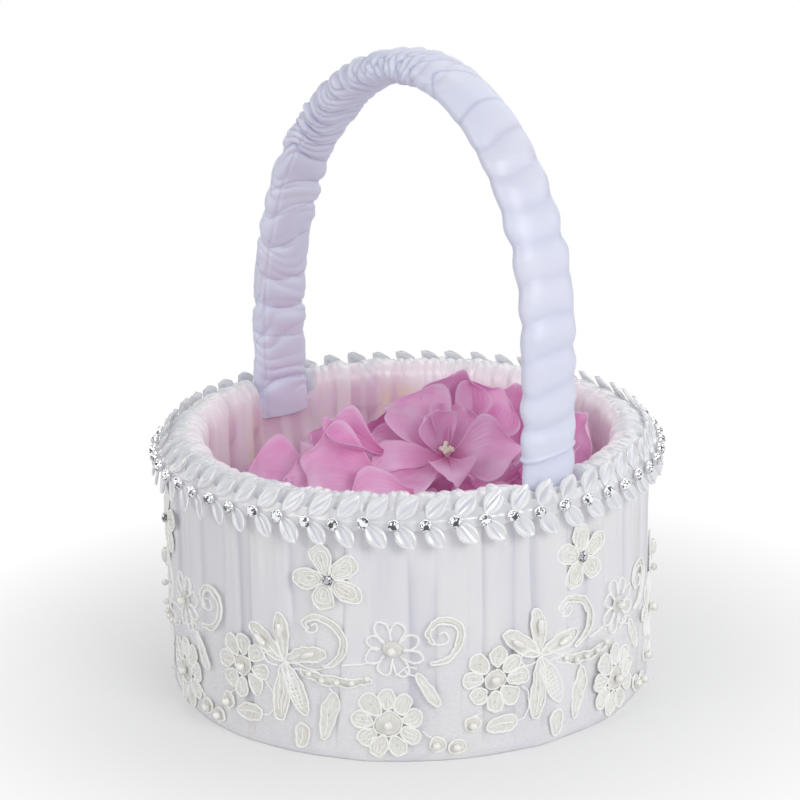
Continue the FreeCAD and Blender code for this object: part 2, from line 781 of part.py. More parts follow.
def silk_blossom():
    """One whole silk flower: two dished five-lobed layers round a tuft of stamens."""
    foot = 71.0
    place = Vector(8.0, 5.0, 0)
    layers = []
    for radius, lift, turn in ((20.0, 0.0, 90.0), (15.0, 1.6, 126.0)):
        outline = lobed(radius, radius * 0.62, 5, 0.0, turn)
        outline.rotate(Vector(), Vector(0, 1, 0), 90)
        outline.translate(Vector(0, 0, -1))
        layer = dish(outline, PETAL_CURVE + 4.0, PETAL_THICK)
        layer.translate(place + Vector(0, 0, foot + lift))
        layers.append(layer)
    group("silk_flower_layers", layers)
    bead = Part.makeSphere(0.9, Vector(3.0, 0, foot + 9.0))
    stalk = Part.makeCylinder(0.3, 6.0, Vector(3.0, 0, foot + 2.8))
    stamens = ring_of([bead.fuse(stalk)], STAMENS, 0.0)
    for stamen in stamens:
        stamen.translate(place)
    group("silk_stamens", stamens)


# --- build, check and write -----------------------------------------------------------------

STEPS = (
    base_board, wall_band, base_hoop, rim_hoops, base_tacks, handle_bow, handle_rivets,
    handle_padding, handle_sleeve, wall_padding, outer_cover, base_cover, wall_lining, floor_pad,
    rim_roll, trim_tape, leaves, stones, lace_net, lace_flowers, lace_irises, lace_leaves,
    lace_cords, pearl_loops, pearls, rice_beads, applique_blossoms, petal_bed, loose_petals,
    silk_blossom,
)


def problems():
    """Every failed object, and every sub-part without a sound solid shape."""
    found = [f"{o.Label}: {o.State}" for o in doc.Objects
             if "Invalid" in o.State or "Error" in o.State]
    for piece in pieces:
        shape = piece.Shape
        if shape.isNull() or not shape.isValid() or not shape.Solids:
            found.append(f"{piece.Label}: no valid solid")
    return found


for step in STEPS:
    step()
doc.recompute()

faults = problems()
if faults:
    sys.exit("\n".join(faults))

os.makedirs("parts", exist_ok=True)
for piece in pieces:
    piece.Shape.exportStep(os.path.join("parts", piece.Label + ".step"))
    print(piece.Label, len(piece.Shape.Solids), "solids", round(piece.Shape.Volume, 1), "mm3")
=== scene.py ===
import math

import bpy
import numpy as np
from mathutils import Matrix, Vector


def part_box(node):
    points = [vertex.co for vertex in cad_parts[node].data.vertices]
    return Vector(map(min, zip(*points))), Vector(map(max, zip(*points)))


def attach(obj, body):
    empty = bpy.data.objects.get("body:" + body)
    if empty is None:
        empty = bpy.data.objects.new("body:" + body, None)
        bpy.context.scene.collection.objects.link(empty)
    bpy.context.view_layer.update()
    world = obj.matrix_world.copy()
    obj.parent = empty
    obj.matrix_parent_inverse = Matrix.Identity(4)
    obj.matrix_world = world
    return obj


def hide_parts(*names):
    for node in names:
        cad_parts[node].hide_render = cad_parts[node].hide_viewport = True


# The looks of a satin flower girl basket, built round its CAD frame. Meshes are worked out in
# millimetres on the frame's own axes (+Z up, handle along X) and stored in metres.

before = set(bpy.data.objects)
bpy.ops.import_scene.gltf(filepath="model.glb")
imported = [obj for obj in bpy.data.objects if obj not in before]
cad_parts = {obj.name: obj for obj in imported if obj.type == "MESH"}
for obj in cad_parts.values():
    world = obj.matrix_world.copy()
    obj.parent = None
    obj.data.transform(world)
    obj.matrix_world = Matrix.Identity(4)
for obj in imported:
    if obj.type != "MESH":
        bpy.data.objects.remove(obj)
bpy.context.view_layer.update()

MM = 0.001
VIEW_AZIMUTH = 52.0  # the main camera looks from here; "front" places and angles start from it
FRONT = VIEW_AZIMUTH - 90.0  # the direction of the camera's side, in degrees round the frame
FULL_TURN = 2 * math.pi
ABOUT_A_TURN = 6.28  # near enough for random phases


def low(node, axis=2):
    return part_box(node)[0][axis] / MM


def high(node, axis=2):
    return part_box(node)[1][axis] / MM


COVER_R = high("outer_cover", 0)
COVER_BACK_R = 81.7  # folds that reach in past here are flattened
LINING_R = 70.0
ROLL_BACK_R = 81.6  # beside the handle's legs the roll thins towards this radius and height
ROLL_FOOT_Z = 81.0
NET_R = high("lace_net", 0)
TRIM_Z = (high("rim_stones") + low("rim_stones")) / 2
TRIM_FOOT_R = -low("stone_cups", 0) - 1.3  # the trim is built outwards from this radius
STONES = 56
FIRST_STONE = math.radians(-41.1)
REPEATS = 6
FIRST_REPEAT = math.radians(-56.0)
REPEAT_ANGLES = [FIRST_REPEAT + k * 2 * math.pi / REPEATS for k in range(REPEATS)]
BLOSSOM_Z = (high("applique_blossoms") + low("applique_blossoms")) / 2
SLEEVE_FOOT = low("handle_sleeve")
BOW_HALF = 1.0  # half the thickness of the handle's strip
LEG_X = (high("handle_bow", 0) - low("handle_bow", 0)) / 2 - BOW_HALF
CROWN_Z = high("handle_bow") - BOW_HALF
CROWN_X = 10.0  # the arch is highest a little to the right of the middle
SPRING_Z = {-1: 105.0, 1: 135.0}  # where the straight legs turn into the arch, left and right
AROUND = 1440  # points round the large rings of cloth


# --- numbers and meshes ---------------------------------------------------------------------


def smooth(x, a, b):
    t = np.clip((np.asarray(x, float) - a) / (b - a), 0, 1)
    return t * t * (3 - 2 * t)


def ring_noise(angle, seed, slowest, fastest):
    """Smooth noise round a circle, about -1 to 1, made of whole waves a turn."""
    rng = np.random.default_rng(seed)
    total = np.zeros_like(np.asarray(angle, float))
    waves = range(slowest, fastest + 1)
    for k in waves:
        total += rng.uniform(0.4, 1.0) * np.cos(k * angle + rng.uniform(0, FULL_TURN))
    return total / (0.75 * math.sqrt(len(waves)) * 1.4)


def turns(count, shift=0.0):
    """Even angles round a full turn."""
    return (np.arange(count) + shift) * 2 * math.pi / count


def ring_points(radius, angle, height):
    return np.stack([radius * np.cos(angle), radius * np.sin(angle), height], 2)


def units(vectors):
    """Each of many vectors at length 1."""
    return vectors / np.maximum(np.linalg.norm(vectors, axis=-1, keepdims=True), 1e-9)


def unit(v):
    v = np.asarray(v, float)
    return v / np.linalg.norm(v)


def wrapped(angle):
    """The same angle, from minus to plus half a turn."""
    return (np.asarray(angle) + math.pi) % FULL_TURN - math.pi


def front_place(x, y, z):
    """Place in the frame of a point given rightwards, away and up as the main camera sees it."""
    turn = math.radians(VIEW_AZIMUTH)
    c, s = math.cos(turn), math.sin(turn)
    return np.array([c * x - s * y, s * x + c * y, z])


def quads(rows, cols, wrap_rows=False, wrap_cols=False):
    """Faces of a grid of points, wrapped round either way if asked."""
    i = np.arange(rows if wrap_rows else rows - 1)
    j = np.arange(cols if wrap_cols else cols - 1)
    i, j = [a.ravel() for a in np.meshgrid(i, j, indexing="ij")]
    i2, j2 = (i + 1) % rows, (j + 1) % cols
    return np.stack([i * cols + j, i2 * cols + j, i2 * cols + j2, i * cols + j2], 1)


def grid_normals(points, wrap_rows, wrap_cols):
    def slope(axis, wrap):
        if wrap:
            return np.roll(points, -1, axis) - np.roll(points, 1, axis)
        return np.gradient(points, axis=axis)

    return units(np.cross(slope(0, wrap_rows), slope(1, wrap_cols)))


def sheet(points, thick, wrap_rows=False, wrap_cols=False):
    """A closed thin solid from a grid of points: the second face lies thick behind the first."""
    rows, cols = points.shape[:2]
    count = rows * cols
    back = points - grid_normals(points, wrap_rows, wrap_cols) * thick
    verts = np.concatenate([points.reshape(-1, 3), back.reshape(-1, 3)])
    face = quads(rows, cols, wrap_rows, wrap_cols)
    parts = [face, face[:, ::-1] + count]
    if not wrap_rows:
        ring = np.arange(cols if wrap_cols else cols - 1)
        after = (ring + 1) % cols
        last = (rows - 1) * cols
        parts.append(np.stack([ring, after, after + count, ring + count], 1))
        parts.append(np.stack([after, ring, ring + count, after + count], 1) + last)
    if not wrap_cols:
        ring = np.arange(rows if wrap_rows else rows - 1) * cols
        after = (ring + cols) % count
        edge = cols - 1
        parts.append(np.stack([after, ring, ring + count, after + count], 1))
        parts.append(np.stack([ring, after, after + count, ring + count], 1) + edge)
    return verts, np.concatenate(parts)


def fan(sides, first, hub, flip=False):
    """Triangles that close a ring, whose points start at first, with its hub point."""
    ring = first + np.arange(sides)
    after = first + (np.arange(sides) + 1) % sides
    if flip:
        ring, after = after, ring
    tip = np.full(sides, hub)
    return np.stack([ring, after, tip, tip], 1)


def tube(points, normals, radius, closed=False, sides=6):
    """A cord along points: normals point away from what the cord lies on."""
    points, normals = np.asarray(points, float), np.asarray(normals, float)
    ahead = np.roll(points, -1, 0) - np.roll(points, 1, 0) if closed else np.gradient(points, axis=0)
    ahead = units(ahead)
    side = units(np.cross(ahead, normals))
    up = np.cross(side, ahead)
    count = len(points)
    radius = np.broadcast_to(np.asarray(radius, float), (count,))
    turn = turns(sides)[None, :, None]
    around = side[:, None] * np.cos(turn) + up[:, None] * np.sin(turn)
    verts = (points[:, None] + around * radius[:, None, None]).reshape(-1, 3)
    faces = [quads(count, sides, closed, True)[:, ::-1]]
    if not closed:
        hub = len(verts)
        verts = np.concatenate([verts, points[:1], points[-1:]])
        faces += [fan(sides, 0, hub), fan(sides, (count - 1) * sides, hub + 1, flip=True)]
    return verts, np.concatenate(faces)


def join(parts):
    verts, faces, start = [], [], 0
    for v, f in parts:
        verts.append(v)
        faces.append(f + start)
        start += len(v)
    return np.concatenate(verts), np.concatenate(faces)


def turned(part, angle):
    c, s = math.cos(angle), math.sin(angle)
    spin = np.array([[c, -s, 0], [s, c, 0], [0, 0, 1]])
    return part[0] @ spin.T, part[1]


def moved(part, place, axes):
    """A part put at a place; axes are the directions of its own x, y and z in the frame."""
    return part[0] @ np.array(axes, float) + np.asarray(place, float), part[1]


def piece(name, part, material, replaces=(), body="basket", flat=False, marks=None):
    """Makes the object, rides it on its body, and hides the CAD nodes it stands for."""
    verts, faces = part
    used = [tuple(dict.fromkeys(f)) for f in faces.tolist()]
    mesh = bpy.data.meshes.new(name)
    mesh.from_pydata((verts * MM).tolist(), [], used)
    mesh.update()
    if not flat:
        mesh.shade_smooth()
    for mark, values in (marks or {}).items():
        layer = mesh.attributes.new(mark, "FLOAT", "POINT")
        layer.data.foreach_set("value", np.resize(values, len(verts)).astype(np.float32))
    obj = bpy.data.objects.new(name, mesh)
    bpy.context.scene.collection.objects.link(obj)
    mesh.materials.append(material)
    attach(obj, body)
    if replaces:
        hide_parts(*replaces)


# --- materials ------------------------------------------------------------------------------


class Shader:
    """Adds a material's nodes and joins them; the value of a socket may be another node."""

    def __init__(self, name):
        self.material = bpy.data.materials.new(name)
        self.material.use_nodes = True
        self.tree = self.material.node_tree
        self.tree.nodes.clear()
        self.place = self.node("ShaderNodeTexCoord").outputs["Object"]

    def node(self, kind, inputs=None, **settings):
        made = self.tree.nodes.new(kind)
        for key, value in settings.items():
            setattr(made, key, value)
        for key, value in (inputs or {}).items():
            self.set(made.inputs[key], value)
        return made

    def set(self, socket, value):
        if isinstance(value, bpy.types.Node):
            value = value.outputs[0]
        if isinstance(value, bpy.types.NodeSocket):
            self.tree.links.new(value, socket)
        elif hasattr(value, "__len__") and len(value) == 3 and socket.type == "RGBA":
            socket.default_value = (*value, 1.0)
        else:
            socket.default_value = value

    def texture(self, kind, size_mm, inputs, stretch=(1, 1, 1), **settings):
        """A texture with features about size_mm wide, drawn out along the axes in stretch."""
        where = self.node("ShaderNodeMapping", {"Vector": self.place,
                          "Scale": [1 / (size_mm * MM * s) for s in stretch]})
        return self.node(kind, {"Vector": where, "Scale": 1.0, **inputs}, **settings)

    def noise(self, size_mm, detail=2.0, stretch=(1, 1, 1), rough=0.5):
        return self.texture("ShaderNodeTexNoise", size_mm, {"Detail": detail, "Roughness": rough}, stretch)

    def ramp(self, value, start, end, low_out=0.0, high_out=1.0):
        made = self.node("ShaderNodeMapRange", {"Value": value, "From Min": start, "From Max": end,
                         "To Min": low_out, "To Max": high_out})
        return made.outputs["Result"]

    def mix(self, share, a, b):
        made = self.node("ShaderNodeMix", data_type="RGBA")
        self.set(made.inputs[0], share)
        self.set(made.inputs[6], a)
        self.set(made.inputs[7], b)
        return made.outputs[2]

    def cloudy(self, size_mm, first, second, detail=2.0, start=0.35, end=0.65):
        """Two tints that drift into each other in clouds about size_mm wide."""
        return self.mix(self.ramp(self.noise(size_mm, detail), start, end), first, second)

    def blend(self, share, first, second):
        """One shader over another, by share."""
        made = self.node("ShaderNodeMixShader", {"Fac": share})
        self.set(made.inputs[1], first)
        self.set(made.inputs[2], second)
        return made

    def maths(self, operation, a, b):
        made = self.node("ShaderNodeMath", operation=operation)
        self.set(made.inputs[0], a)
        self.set(made.inputs[1], b)
        return made.outputs[0]

    def mark(self, name):
        return self.node("ShaderNodeAttribute", attribute_name=name).outputs["Fac"]

    def bump(self, height, strength, distance_mm, normal=None):
        made = self.node("ShaderNodeBump", {"Height": height, "Strength": strength,
                         "Distance": distance_mm * MM})
        if normal is not None:
            self.set(made.inputs["Normal"], normal)
        return made.outputs["Normal"]

    def surface(self, **inputs):
        shader = self.node("ShaderNodeBsdfPrincipled")
        for key, value in inputs.items():
            self.set(shader.inputs[key.replace("_", " ")], value)
        return shader

    def finish(self, shader):
        out = self.node("ShaderNodeOutputMaterial")
        self.tree.links.new(shader.outputs[0], out.inputs["Surface"])
        return self.material


def satin(name, colour, shade, warm=None, fold_shade=None, rough=0.34, glow=0.04, coat=0.4, slubs=0.12):
    """Woven satin: soft highlights, cloudy tint, fine threads; warm tints and painted fold shade where
    marked, and a faint painted glow.
    """
    s = Shader(name)
    tint = s.cloudy(22.0, colour, shade, 3.0, end=0.68)
    if warm:
        tint = s.mix(s.mark("warm"), tint, warm)
    # Painted shade: where marked, a darker tint runs down folds and creases.
    if fold_shade:
        tint = s.mix(s.mark("fold_shade"), tint, fold_shade)
    slub = s.noise(1.6, 2.0, (1, 1, 14))
    rough_out = s.ramp(slub, 0.3, 0.7, rough - 0.025, rough + 0.03)
    thread = s.texture("ShaderNodeTexWave", 0.32, {"Distortion": 0.4}, bands_direction="Z")
    weave = s.bump(thread.outputs["Fac"], 0.10, 0.05)
    normal = s.bump(slub, slubs, 0.22, weave)
    # The emission is a painted glow that lifts the satin's shade.
    return s.finish(s.surface(Base_Color=tint, Roughness=rough_out, Normal=normal, Sheen_Weight=0.25,
                              Sheen_Roughness=0.3, Specular_IOR_Level=0.75, Coat_Weight=coat,
                              Coat_Roughness=0.22, Emission_Color=tint, Emission_Strength=glow))


def lace_cord():
    """Twisted white cord."""
    s = Shader("lace_cord")
    strand = s.noise(0.45, 2.0)
    tint = s.cloudy(9.0, (1.0, 1.0, 0.98), (0.97, 0.97, 0.94))
    normal = s.bump(strand, 0.4, 0.1)
    # The emission is a painted glow that keeps the cord bright white.
    return s.finish(s.surface(Base_Color=tint, Roughness=0.5, Normal=normal, Sheen_Weight=0.3,
                              Emission_Color=tint, Emission_Strength=0.10))


def lace_fill():
    """Ivory stitched filling: fine thread lines with a silky gleam, warmer in places."""
    s = Shader("lace_fill")
    thread = s.noise(0.42, 1.0, (1, 1, 4))
    tint = s.cloudy(5.0, (0.92, 0.91, 0.86), (0.86, 0.83, 0.75))
    tint = s.mix(s.ramp(thread, 0.42, 0.62, 0.0, 0.7), tint, (0.98, 0.98, 0.96))
    normal = s.bump(thread, 0.5, 0.12)
    gleam = s.ramp(s.noise(2.2, 1.0), 0.4, 0.6, 0.22, 0.5)
    return s.finish(s.surface(Base_Color=tint, Roughness=gleam, Normal=normal, Sheen_Weight=0.3,
                              Specular_IOR_Level=0.7))


def net_cloth():
    """Sheer net: small open cells between fine threads."""
    s = Shader("net_cloth")
    cell = s.texture("ShaderNodeTexVoronoi", 1.15, {}, feature="DISTANCE_TO_EDGE")
    thread = s.ramp(cell.outputs["Distance"], 0.03, 0.10, 0.06, 0.015)
    # The emission is a faint painted glow.
    return s.finish(s.surface(Base_Color=(0.96, 0.95, 0.92), Roughness=0.5, Alpha=thread,
                              Emission_Color=(0.96, 0.95, 0.92), Emission_Strength=0.05))


def pressed_satin(name, colour, see=1.0):
    """Heat-pressed glossy satin for the trim's leaves."""
    s = Shader(name)
    tint = s.cloudy(5.0, colour, [c * 0.95 for c in colour])
    # Painted shade: the mark tints each leaf's hollow middle blue-grey, in stripes.
    tint = s.mix(s.mark("hollow_shade"), tint, (0.68, 0.69, 0.76))
    normal = s.bump(s.noise(0.5, 2.0, (1, 1, 3)), 0.2, 0.06)
    # The emission is a painted glow that brightens the leaves and the tape.
    return s.finish(s.surface(Base_Color=tint, Roughness=0.16, Normal=normal, Coat_Weight=1.0,
                              Coat_Roughness=0.05, Specular_IOR_Level=0.8, Sheen_Weight=0.1, Alpha=see,
                              Emission_Color=tint, Emission_Strength=0.09))


def crystal(name, colour):
    """Foiled crystal with painted glints: at random, some facets are painted bright and the rest near
    black, for the light and dark they would reflect, and the bright ones glow.
    """
    s = Shader(name)
    facing = s.node("ShaderNodeNewGeometry").outputs["True Normal"]
    grain = s.node("ShaderNodeMapping", {"Vector": facing, "Scale": [9.0, 9.0, 9.0]})
    painted_glint = s.node("ShaderNodeTexWhiteNoise", {"Vector": s.node(
        "ShaderNodeVectorMath", {0: grain, 1: (1.0, 1.0, 1.0)}, operation="SNAP")})
    glow = s.ramp(painted_glint.outputs["Value"], 0.40, 0.56)
    tint = s.mix(glow, [c * 0.06 for c in colour], colour)
    return s.finish(s.surface(Base_Color=tint, Roughness=0.04, Metallic=0.35, Coat_Weight=1.0,
                              Coat_Roughness=0.02, Specular_IOR_Level=0.9, Emission_Color=tint,
                              Emission_Strength=0.22))


def metal(name, colour, rough):
    s = Shader(name)
    scuff = s.ramp(s.noise(0.8, 3.0), 0.3, 0.7, rough * 0.7, rough * 1.5)
    return s.finish(s.surface(Base_Color=colour, Metallic=1.0, Roughness=scuff))


def pearl_coat():
    s = Shader("pearl_coat")
    # Painted shade: the pearl darkens towards its outline, where it turns away from the light; the emission
    # is a faint painted glow.
    rim = s.node("ShaderNodeLayerWeight", {"Blend": 0.30}).outputs["Facing"]
    tint = s.mix(rim, (0.97, 0.96, 0.92), (0.70, 0.64, 0.57))
    return s.finish(s.surface(Base_Color=tint, Roughness=0.12, Coat_Weight=1.0, Coat_Roughness=0.03,
                              Specular_IOR_Level=0.9, Emission_Color=tint, Emission_Strength=0.05,
                              Normal=s.bump(s.noise(0.6, 2.0), 0.1, 0.05)))


def silk(name):
    """Dyed silk petal, paler on the rim, with fine veins; the darker tint towards the base is painted
    shade.
    """
    s = Shader(name)
    body = s.cloudy(14.0, (1.0, 0.67, 0.90), (0.93, 0.44, 0.76))
    # Painted shade: the root mark darkens each petal towards its base, where the petals lie over one
    # another.
    body = s.mix(s.mark("root"), body, (0.82, 0.26, 0.56))
    body = s.mix(s.mark("rim"), body, (1.0, 0.80, 0.96))
    vein = s.bump(s.mark("vein"), 0.25, 0.5)
    normal = s.bump(s.noise(0.6, 2.0), 0.25, 0.1, vein)
    # The emission is a faint painted glow.
    face = s.surface(Base_Color=body, Roughness=0.55, Normal=normal, Sheen_Weight=0.2,
                     Emission_Color=body, Emission_Strength=0.03)
    glow = s.node("ShaderNodeBsdfTranslucent", {"Color": body, "Normal": normal})
    return s.finish(s.blend(0.22, face, glow))


def wood(name, pale, dark):
    s = Shader(name)
    grain = s.noise(1.2, 4.0, (1, 1, 9), 0.6)
    tint = s.mix(s.ramp(grain, 0.35, 0.65), pale, dark)
    return s.finish(s.surface(Base_Color=tint, Roughness=0.6, Normal=s.bump(grain, 0.3, 0.3)))


def wadding(name):
    s = Shader(name)
    tuft = s.noise(1.5, 4.0)
    tint = s.mix(tuft, (0.90, 0.90, 0.90), (0.80, 0.80, 0.80))
    return s.finish(s.surface(Base_Color=tint, Roughness=0.95, Normal=s.bump(tuft, 0.9, 1.0)))


def yellow_pollen():
    s = Shader("pollen")
    tint = s.cloudy(0.8, (0.97, 0.96, 0.92), (0.88, 0.80, 0.56), start=0.4, end=0.6)
    return s.finish(s.surface(Base_Color=tint, Roughness=0.7))


# --- satin over the body --------------------------------------------------------------------


def pleat_field(angle, z, pleats):
    """Sum of lapped pleats: each drops sharply on one side and eases back on the other.

    A pleat wanders as it rises, and some fade out above or below."""
    total = np.zeros_like(angle + z)
    for centre, width, depth, wander, first, last in pleats:
        drift = wander * (np.sin(z / 23.0 + first) + (z - 40.0) / 40.0)
        gap = wrapped(angle - centre - drift) * (1 if width > 0 else -1)
        ease = abs(width)
        side = np.where(gap > 0, np.exp(-gap / ease), np.exp(gap / (ease * 0.22)))
        total -= depth * side * smooth(z, first - 14, first + 8) * (1 - smooth(z, last, last + 22))
    return total


def pleat(rng, degrees, width, depth, tall=0.5, wander=0.02):
    """One pleat; tall is the chance that it runs the full height."""
    first, last = rng.uniform(-5, 45), rng.uniform(55, 90)
    if rng.random() < tall:
        first, last = -20.0, 100.0
    return (math.radians(degrees), math.radians(width), depth, rng.uniform(-wander, wander), first, last)


# degrees rightwards from the front, width in degrees (below 0 where it laps the other way), depth
FRONT_PLEATS = ((-57, 5.0, 1.0), (-49, -2.0, 0.5), (-42, 2.4, 1.3), (-39, -1.4, 0.7), (-28, 1.8, 1.0),
                (-21, -2.4, 0.5), (-16, -1.2, 0.8), (-8, 2.6, 0.5), (-0.4, 3.4, 1.2), (6, -2.2, 0.8),
                (12, 1.2, 0.4), (16.5, 1.5, 1.0), (24, -2.4, 0.9), (30, 2.8, 1.3), (38, 1.6, 0.5),
                (46, -3.0, 0.9), (53, 1.4, 0.6), (60.5, 2.0, 1.5), (71, -2.4, 0.9))
BACK_PLEATS_FROM, BACK_PLEATS_TO = 80.0, 296.0


def cover_pleats():
    """Pleats at the places the front shows them, and at uneven places elsewhere."""
    rng = np.random.default_rng(7)
    pleats = [pleat(rng, a + FRONT, w, d, 0.6) for a, w, d in FRONT_PLEATS]
    at = BACK_PLEATS_FROM
    while at < BACK_PLEATS_TO:
        width = rng.uniform(1.2, 3.8) * rng.choice([-1, 1])
        pleats.append(pleat(rng, at + FRONT, width, rng.uniform(0.6, 1.5)))
        at += rng.uniform(4.0, 12.0)
    return pleats


def cover_radius(a, z, pleats):
    """Radius of the satin at angles a and heights z, and how deep its folds are there."""
    fold = pleat_field(a, z, pleats)
    depth = smooth(z, 0.5, 8.0) * (0.85 + 0.5 * smooth(z, 15, 75))
    lean = 0.012 * np.sin(z / 17.0)
    wide = 1.0 * ring_noise(a + lean, 5, 6, 18) * smooth(z, 2, 20)
    narrow = 0.30 * ring_noise(a + 2 * lean, 6, 20, 44) * (0.3 + 0.7 * smooth(z, 25, 74))
    gather = 0.26 * ring_noise(a, 3, 70, 170) * smooth(z, 48, 78)
    slant = 0.22 * np.sin(z / 6.5 + 9 * a + 2 * np.sin(5 * a)) * smooth(np.sin(3 * a + z / 30), 0.1, 0.9)
    radius = COVER_R - 0.1 + fold * depth + wide + narrow + gather + slant * smooth(z, 4, 20)
    return np.maximum(radius, COVER_BACK_R + 0.15 * (radius - COVER_BACK_R)), fold


# (radius, height) where the cover turns under at its foot
HEM_TURN = ((77.2, 0.15), (79.5, 0.1), (81.8, 0.12), (82.6, 0.45), (82.8, 1.2))
# share of the wall's folds that each of those places keeps
HEM_FOLD = ((0,), (0,), (0.2,), (0.6,), (0.9,))


def outer_cover(material):
    """The pleated satin round the wall, turned under at the foot."""
    radius, height = [np.array(c) for c in zip(*HEM_TURN)]
    rows = len(height)
    wall = np.linspace(2.2, high("outer_cover"), 60)
    a, z = np.meshgrid(turns(AROUND), np.concatenate([height, wall]))
    full, fold = cover_radius(a, z, cover_pleats())
    r = full.copy()
    r[:rows] = radius[:, None] + (full[:rows] - COVER_R + 0.1) * HEM_FOLD
    z = z + np.where(z < 3, 0.45 * (ring_noise(a, 9, 8, 26) + 0.6) * smooth(z, 0.12, 0.5), 0)
    points = ring_points(r, a, np.maximum(z, 0.02))
    # Painted shade: a warm peach tint in the deepest fold grooves, stronger in patches round the wall.
    warm = np.clip(-fold - 0.6, 0, 1) * (0.2 + 0.8 * np.clip(ring_noise(a, 11, 2, 6), 0, 1))
    part = sheet(points, -0.5, wrap_cols=True)
    # Blue-grey tint: vertical bands that come and go at random round the wall, and painted shade down the
    # fold grooves.
    fold_shade = (0.30 * np.clip(ring_noise(a + 0.0012 * z, 13, 5, 16) - 0.1, 0, 1)
            + 0.80 * np.clip(-fold - 0.45, 0, 0.9) * smooth(z, 2, 25))
    piece("outer_cover_satin", part, material, ("outer_cover",),
          marks={"warm": warm.ravel(), "fold_shade": fold_shade.ravel()})


def wall_padding(material):
    """Wadding that fills the hollow between the wall band and the satin's folds."""
    a, z = np.meshgrid(turns(720), np.linspace(low("wall_padding") + 0.2, high("wall_padding"), 30))
    full, _ = cover_radius(a, z, cover_pleats())
    r = np.maximum(full - 0.75, 80.4)
    points = ring_points(r, a, z)
    piece("wall_wadding", sheet(points, -0.25, wrap_cols=True), material,
          ("wall_padding",))


def lining_pleats():
    """Gathers at uneven places right round the lining."""
    rng = np.random.default_rng(21)
    pleats, at = [], 0.0
    while at < 360.0:
        width = rng.uniform(1.4, 4.2) * rng.choice([-1, 1])
        pleats.append(pleat(rng, at, width, rng.uniform(0.6, 2.2), 0.55, 0.08))
        at += rng.uniform(3.6, 9.0)
    return pleats


def lining_folds(a, z):
    """Depth of the lining's gathers, which run on up over the roll."""
    fold = pleat_field(a, z, lining_pleats())
    return fold + 0.26 * ring_noise(a, 23, 50, 120) * smooth(z, 55, 82)


def beside_legs(a, radius, start, end):
    """0 where the handle's legs pass, 1 from end millimetres away from their middles."""
    legs = np.minimum(abs(wrapped(a)), abs(wrapped(a - math.pi))) * radius
    return smooth(legs, start, end)


# sections as (radius, height): the lining folds over the roll as far as its crest, and the roll
# runs on from inside the rim to the outside
LINING_TOP = ((70.0, 74.0), (69.9, 80.5), (70.1, 84.0), (71.0, 87.2), (73.0, 89.6), (75.6, 90.6),
              (77.6, 90.2))
ROLL_SECTION = ((71.6, 79.0), (71.2, 84.0), (72.0, 87.0), (73.6, 89.0), (76.2, 90.1), (79.2, 89.4),
                (81.6, 87.2), (82.9, 84.2), (83.0, 81.6))


def crest_gathers(a, drift):
    """Gathers over the rim's crest, which slant by drift."""
    return 0.65 * ring_noise(a + drift, 31, 24, 60) + 0.46 * ring_noise(a + 1.6 * drift, 33, 70, 170)


def swelled(section, swell):
    """Radius and height of a section pushed out along its own normals by swell."""
    slope = units(np.gradient(section, axis=0))
    return section[:, 0] - slope[:, 1] * swell, section[:, 1] + slope[:, 0] * swell


def wall_lining(material):
    """Gathered satin from the floor pad up the wall and over the inside of the rim."""
    foot = low("wall_lining") + 0.3
    lower = np.stack([np.full(34, LINING_R), np.linspace(foot, 73.0, 34)], 1)
    section = np.concatenate([lower, evenly(curve_through(LINING_TOP), 0.7)])
    k, a = np.meshgrid(np.arange(len(section)), turns(AROUND))
    height = np.broadcast_to(section[:, 1], a.shape)
    end = smooth(k, len(section) - 9, len(section) - 1)
    rise = smooth(k, len(section) - 26, len(section) - 8)
    depth = lining_folds(a, height) * 1.35 * smooth(height, foot, foot + 12)
    swell = depth * (1 - rise) + (crest_gathers(a, 0.02) + 0.25 * depth) * rise - 0.9 * end
    near = 1 - beside_legs(a, 72.0, 10.2, 14.5)
    swell = swell * (1 - 0.85 * near * smooth(height, 52, 62))
    swell = np.maximum(swell, -0.9 - 2.4 * (1 - smooth(height, 68, 76)))
    r, z = swelled(section, swell)
    r = r + near * smooth(z, 60, 74) * 3.0
    z = z - near * np.clip(z - 80.0, 0, None)
    points = ring_points(r, a, z)
    warm = np.clip(ring_noise(a, 25, 5, 16) - 0.15, 0, 1) * smooth(z, 20, 50) * (1 - smooth(z, 76, 86))
    # Painted shade: a darker mauve tint down the fold grooves, less of it over the roll.
    fold_shade = np.clip(-depth * 0.45 - 0.08, 0, 0.85) * (1 - 0.7 * rise)
    part = sheet(points, 0.5, wrap_rows=True)
    piece("wall_lining_satin", part, material, ("wall_lining",),
          marks={"warm": warm.ravel(), "fold_shade": fold_shade.ravel()})


def rim_roll(material):
    """The padded roll; it thins to its outer shoulder where the handle's legs come through."""
    section = evenly(curve_through(ROLL_SECTION), 0.62)
    k, a = np.meshgrid(np.linspace(0, 1, len(section)), turns(AROUND))
    swell = crest_gathers(a, 0.02 + 0.02 * k) * smooth(k, 0.1, 0.4) * (1 - 0.5 * smooth(k, 0.7, 0.9))
    r, z = swelled(section, swell)
    z = z + 0.4 * ring_noise(a, 35, 5, 14) * smooth(z, 84, 90)
    away = beside_legs(a, 77.0, 9.5, 14.5)
    r = ROLL_BACK_R + (r - ROLL_BACK_R) * (0.26 + 0.74 * away)
    z = np.where(away < 1, ROLL_FOOT_Z + (z - ROLL_FOOT_Z) * (0.70 + 0.30 * away), z)
    points = ring_points(r, a, z)
    warm = np.clip(ring_noise(a, 37, 6, 20) - 0.2, 0, 0.6) * (1 - k)
    piece("rim_roll_satin", sheet(points, 0.6, wrap_rows=True), material,
          ("rim_roll",), marks={"warm": warm.ravel()})


